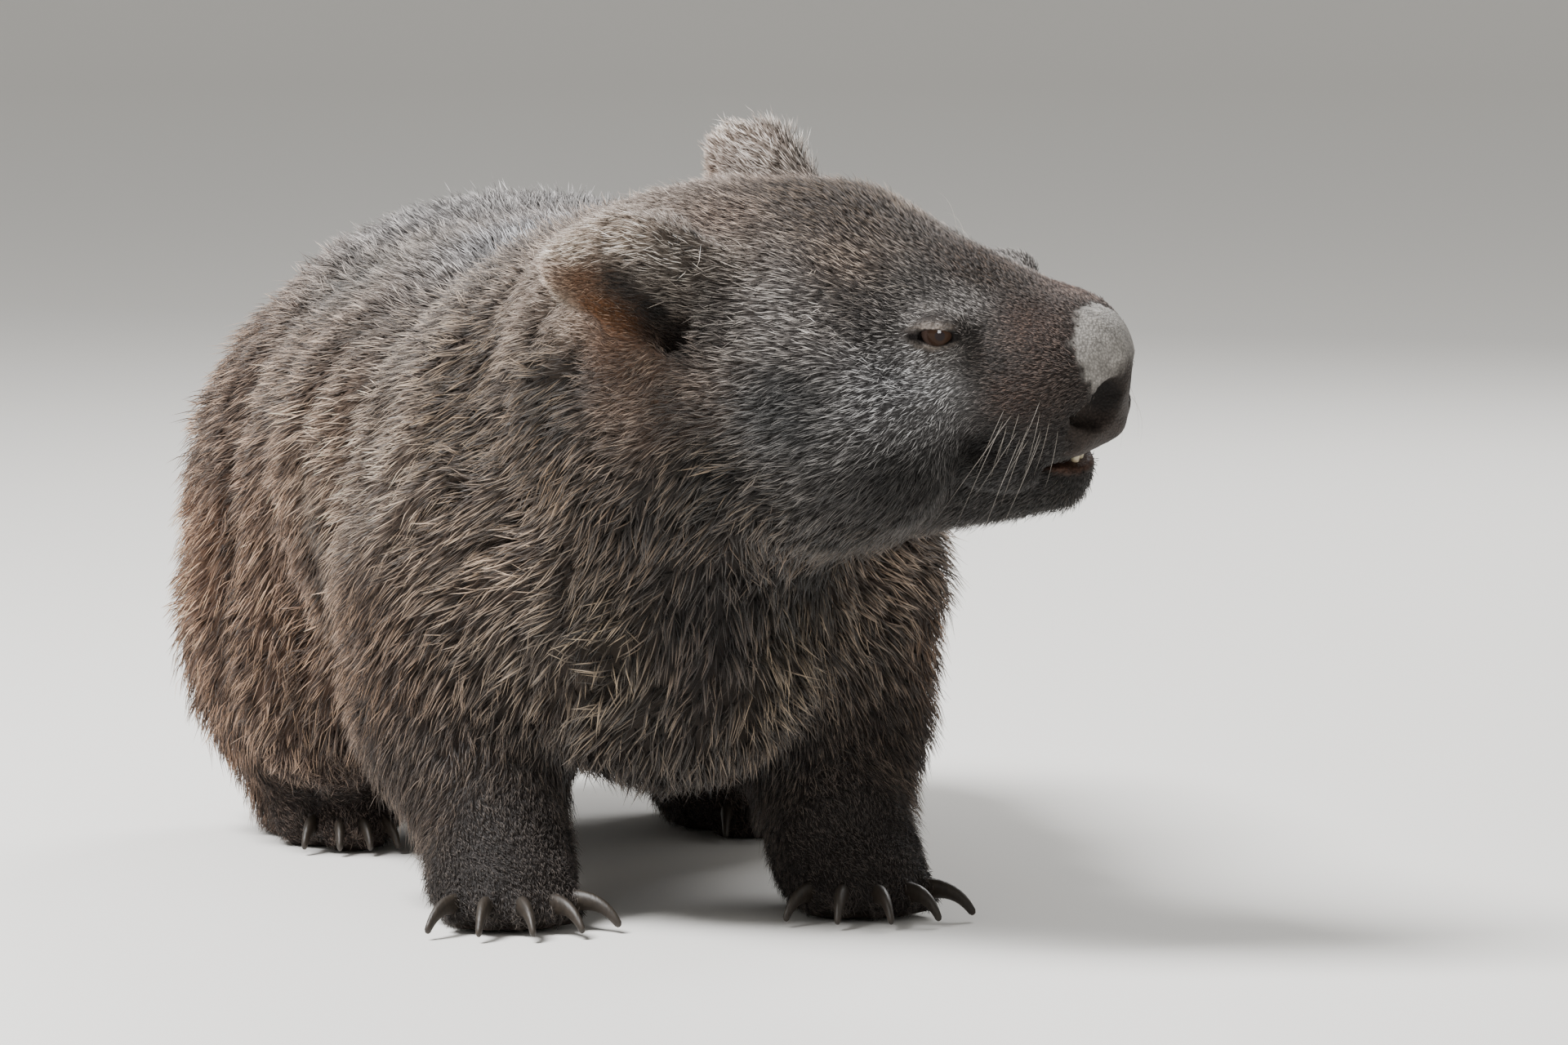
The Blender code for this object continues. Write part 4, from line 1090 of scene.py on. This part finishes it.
class WOMBAT_OT_claws(bpy.types.Operator):
    """Set the claws in the toes of each paw"""

    bl_idname = "wombat.claws"
    bl_label = "Claws"

    def execute(self, context):
        material = claw_material()
        for name, side in SIDES.items():
            for fore, kind in ((True, "foreclaw"), (False, "hindclaw")):
                shape, nodes = bmesh.new(), []
                for number, (centre, aim) in enumerate(toes(side, fore), 1):
                    middle, aim = BODY.point(centre), np.array(aim) / np.linalg.norm(aim)
                    length = CLAW_LENGTH if fore else HINDCLAW_SHARE * CLAW_LENGTH
                    path = [middle + aim * (ahead + share * length) + np.array((0, 0, rise))
                            for ahead, share, rise in CLAW_PATH]
                    add_horn(shape, path, CLAW_WIDTHS, CLAW_FLAT, np.cross(aim, (0, 0, 1)))
                    nodes.append(f"{kind}_{name}_{number}")
                claws = closed(shape, f"{kind}s_{name}", material)
                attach(claws, "root")
                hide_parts(*nodes)
        return {"FINISHED"}


def tooth_material():
    """Enamel: hard and glossy, cream with yellow-brown stains."""
    material, tree, shader = new_material("tooth enamel", Roughness=0.22, Subsurface_Weight=0.1)
    stain = texture(tree, "ShaderNodeTexNoise", in_Scale=260.0, in_Detail=3.0)
    tree.links.new(mix(tree, stain.outputs["Fac"], "9C8560", "E3D8BE"), shader.inputs["Base Color"])
    return material


class WOMBAT_OT_teeth(bpy.types.Operator):
    """Set the two lower front teeth behind the lip"""

    bl_idname = "wombat.teeth"
    bl_label = "Teeth"

    def execute(self, context):
        shape = bmesh.new()
        for side in SIDES.values():
            tip = outwards(INCISOR, side)
            root = (tip[0], tip[1] + 0.010, tip[2] - 0.016)
            bend = (tip[0], root[1] - 0.008, root[2] + 0.004)
            add_horn(shape, [HEAD.point(spot) for spot in (root, bend, tip)], (0.0022, 0.0019), 1.1,
                     HEAD.way((1, 0, 0)), blunt=0.6)
        teeth = closed(shape, "front_teeth", tooth_material())
        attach(teeth, "root")
        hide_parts("lower_incisors")
        return {"FINISHED"}


def whisker_tree(material):
    """Geometry Nodes: gives each path a round body that tapers to its tip."""
    tree = bpy.data.node_groups.new("whiskers", "GeometryNodeTree")
    tree.interface.new_socket("Geometry", in_out="INPUT", socket_type="NodeSocketGeometry")
    width = tree.interface.new_socket("Thickness", in_out="INPUT", socket_type="NodeSocketFloat")
    tree.interface.new_socket("Geometry", in_out="OUTPUT", socket_type="NodeSocketGeometry")
    given, result = tree.nodes.new("NodeGroupInput"), tree.nodes.new("NodeGroupOutput")
    curve = node(tree, "GeometryNodeMeshToCurve", [(given.outputs["Geometry"], "Mesh")])
    along = node(tree, "GeometryNodeSplineParameter")
    taper = node(tree, "ShaderNodeMapRange", [(along.outputs["Factor"], "Value")], in_3=1.0, in_4=0.12)
    size = node(tree, "ShaderNodeMath", [(taper.outputs[0], 0), (given.outputs["Thickness"], 1)],
                operation="MULTIPLY")
    ring = node(tree, "GeometryNodeCurvePrimitiveCircle", in_Resolution=5, in_Radius=0.5)
    tube = node(tree, "GeometryNodeCurveToMesh",
                [(curve.outputs["Curve"], "Curve"), (ring.outputs["Curve"], "Profile Curve"),
                 (size.outputs[0], "Scale")], in_Fill_Caps=True)
    joined = node(tree, "GeometryNodeRealizeInstances", [(tube.outputs["Mesh"], "Geometry")])
    dressed = node(tree, "GeometryNodeSetMaterial", [(joined.outputs["Geometry"], "Geometry")])
    dressed.inputs["Material"].default_value = material
    tree.links.new(dressed.outputs["Geometry"], result.inputs["Geometry"])
    return tree, width.identifier


class WOMBAT_OT_whiskers(bpy.types.Operator):
    """Grow the whiskers of the muzzle and brow"""

    bl_idname = "wombat.whiskers"
    bl_label = "Whiskers"

    def execute(self, context):
        settings = context.scene.wombat_face
        material, _, shader = new_material("whisker", Roughness=0.4)
        shader.inputs["Base Color"].default_value = (*linear("A79F95"), 1)
        tree, width = whisker_tree(material)
        skin = bpy.data.objects["skin"]
        dice = np.random.default_rng(21)
        points, edges = [], []
        for side in SIDES.values():
            for number in range(settings.whiskers + BROW_WHISKERS):
                brow = number >= settings.whiskers
                y, z = (dice.uniform(*span) for span in (BROW_ROOTS if brow else MUZZLE_ROOTS))
                spot = Vector(HEAD.point((0.09 * side, y, z)))
                hit, place, normal, _ = skin.ray_cast(spot, Vector(HEAD.way((-side, 0, 0))))
                if not hit:
                    continue
                fall = outwards(BROW_FALL if brow else MUZZLE_FALL, side)
                way = Vector(HEAD.way(fall)) + Vector(dice.normal(size=3) * 0.24)
                down = Vector(HEAD.way((0, 0.3, -0.5)))
                length = settings.whisker_length * dice.uniform(0.35, 1.0) * (0.6 if brow else 1.0)
                start = len(points)
                for step in range(WHISKER_STEPS + 1):
                    share = step / WHISKER_STEPS
                    bent = (normal * 0.9 * (1 - share) + way + down * share * 0.7).normalized()
                    place = place + bent * length / WHISKER_STEPS if step else place - normal * 0.002
                    points.append(tuple(place))
                edges.extend((start + k, start + k + 1) for k in range(WHISKER_STEPS))
        mesh = bpy.data.meshes.new("whisker paths")
        mesh.from_pydata(points, edges, [])
        paths = add_object("whisker_paths", mesh)
        step = paths.modifiers.new("body", "NODES")
        step.node_group = tree
        step[width] = settings.whisker_width
        context.view_layer.update()
        made = bpy.data.meshes.new_from_object(paths.evaluated_get(context.evaluated_depsgraph_get()))
        bpy.data.objects.remove(paths)
        made.shade_smooth()
        whiskers = add_object("whiskers", made)
        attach(whiskers, "root")
        return {"FINISHED"}


class StageSettings(bpy.types.PropertyGroup):
    """The floor, lights and camera."""

    floor: FloatVectorProperty(name="Floor", description="Colour of the floor", subtype="COLOR",
                               default=linear("E4E2DE"), min=0, max=1)
    sky: FloatProperty(name="Sky", description="Strength of the light from all round", default=0.62, min=0)
    key: FloatProperty(name="Key light", description="Power of the main light", default=250, unit="POWER")
    rim: FloatProperty(name="Rim light", description="Power of the light from behind", default=60, unit="POWER")
    glint: FloatProperty(name="Glint", description="Power of the light on the eyes alone", default=480, unit="POWER")
    azimuth: FloatProperty(name="Azimuth", description="Camera's turn round the animal", subtype="ANGLE",
                           default=math.radians(-14))
    elevation: FloatProperty(name="Elevation", description="Camera's angle above the floor", subtype="ANGLE",
                             default=math.radians(5))
    distance: FloatProperty(name="Distance", description="Camera's distance from the front feet", default=3.6,
                            unit="LENGTH")


class WOMBAT_OT_stage(bpy.types.Operator):
    """Make the floor, the soft studio lights and the camera"""

    bl_idname = "wombat.stage"
    bl_label = "Stage"

    def execute(self, context):
        stage = context.scene.wombat_stage
        # the floor is a wide round dish, flat until far behind every camera, then bending up
        material, _, shader = new_material("painted board", Roughness=0.85)
        shader.inputs["Base Color"].default_value = (*stage.floor, 1)
        sides, flat, bend = 64, 12.0, 3.0
        profile = [(flat + bend * math.sin(rise), bend - bend * math.cos(rise))
                   for rise in np.linspace(0, math.pi / 2, 16)]
        turns = np.linspace(0, 2 * math.pi, sides, endpoint=False)
        points = [(far * math.cos(turn), far * math.sin(turn), high) for far, high in profile for turn in turns]
        faces = [(k * sides + i, (k + 1) * sides + i, (k + 1) * sides + (i + 1) % sides, k * sides + (i + 1) % sides)
                 for k in range(len(profile) - 1) for i in range(sides)]
        faces.append(tuple(range(sides)))
        mesh = bpy.data.meshes.new("floor")
        mesh.from_pydata(points, [], faces)
        mesh.shade_smooth()
        add_object("floor", mesh, material)

        world = bpy.data.worlds.new("studio")
        world.use_nodes = True
        world.node_tree.nodes["Background"].inputs[0].default_value = (*linear("ECEBE8"), 1)
        world.node_tree.nodes["Background"].inputs[1].default_value = stage.sky
        context.scene.world = world
        lights = (("key", (-1.6, -0.25, 2.7), stage.key, 1.2), ("rim", (1.6, 2.2, 2.0), stage.rim, 1.2),
                  ("glint", (-0.64, -2.85, 0.56), stage.glint, 1.0))
        for name, spot, power, size in lights:
            light = bpy.data.lights.new(name, "AREA")
            light.energy, light.size = power, size
            made = add_aimed(name, light, spot, Vector(LIT_SPOT) - Vector(spot))
            made.visible_camera = False
            if name == "glint":
                # this light shines on the eyes alone
                shone = bpy.data.collections.new("shone on by the glint")
                for eye in SIDES:
                    shone.objects.link(bpy.data.objects[f"glass_eye_{eye}"])
                made.light_linking.receiver_collection = shone

        turn, rise = stage.azimuth, stage.elevation
        back = Vector((math.sin(turn) * math.cos(rise), -math.cos(turn) * math.cos(rise), math.sin(rise)))
        right = Vector((math.cos(turn), math.sin(turn), 0))
        up = back.cross(right)
        camera = bpy.data.cameras.new("camera")
        camera.sensor_width, camera.lens, camera.clip_end = 36, 178.9, 100
        spot = Vector(FEET) + back * stage.distance - right * FEET_ASIDE + up * FEET_BELOW
        context.scene.camera = add_aimed("camera", camera, spot, -back)
        return {"FINISHED"}


OPERATORS = (WOMBAT_OT_skin, WOMBAT_OT_coat, WOMBAT_OT_eyes, WOMBAT_OT_claws, WOMBAT_OT_teeth, WOMBAT_OT_whiskers,
             WOMBAT_OT_stage)


class WOMBAT_PT_panel(bpy.types.Panel):
    """Lists the pieces of the wombat"""

    bl_idname = "WOMBAT_PT_panel"
    bl_label = "Wombat"
    bl_space_type = "VIEW_3D"
    bl_region_type = "UI"
    bl_category = "Wombat"

    def draw(self, context):
        for kind in OPERATORS:
            self.layout.operator(kind.bl_idname)
        for name in ("wombat_coat", "wombat_face", "wombat_stage"):
            settings = getattr(context.scene, name)
            for key in settings.bl_rna.properties.keys():
                if key not in ("rna_type", "name"):
                    self.layout.prop(settings, key)


CLASSES = (CoatSettings, FaceSettings, StageSettings, *OPERATORS, WOMBAT_PT_panel)


def register():
    for kind in CLASSES:
        bpy.utils.register_class(kind)
    bpy.types.Scene.wombat_coat = PointerProperty(type=CoatSettings)
    bpy.types.Scene.wombat_face = PointerProperty(type=FaceSettings)
    bpy.types.Scene.wombat_stage = PointerProperty(type=StageSettings)


def unregister():
    for name in ("wombat_coat", "wombat_face", "wombat_stage"):
        delattr(bpy.types.Scene, name)
    for kind in reversed(CLASSES):
        bpy.utils.unregister_class(kind)


def main():
    register()
    bpy.ops.wombat.skin()
    bpy.ops.wombat.coat()
    bpy.ops.wombat.eyes()
    bpy.ops.wombat.claws()
    bpy.ops.wombat.teeth()
    bpy.ops.wombat.whiskers()
    bpy.ops.wombat.stage()


if __name__ == "__main__":
    main()
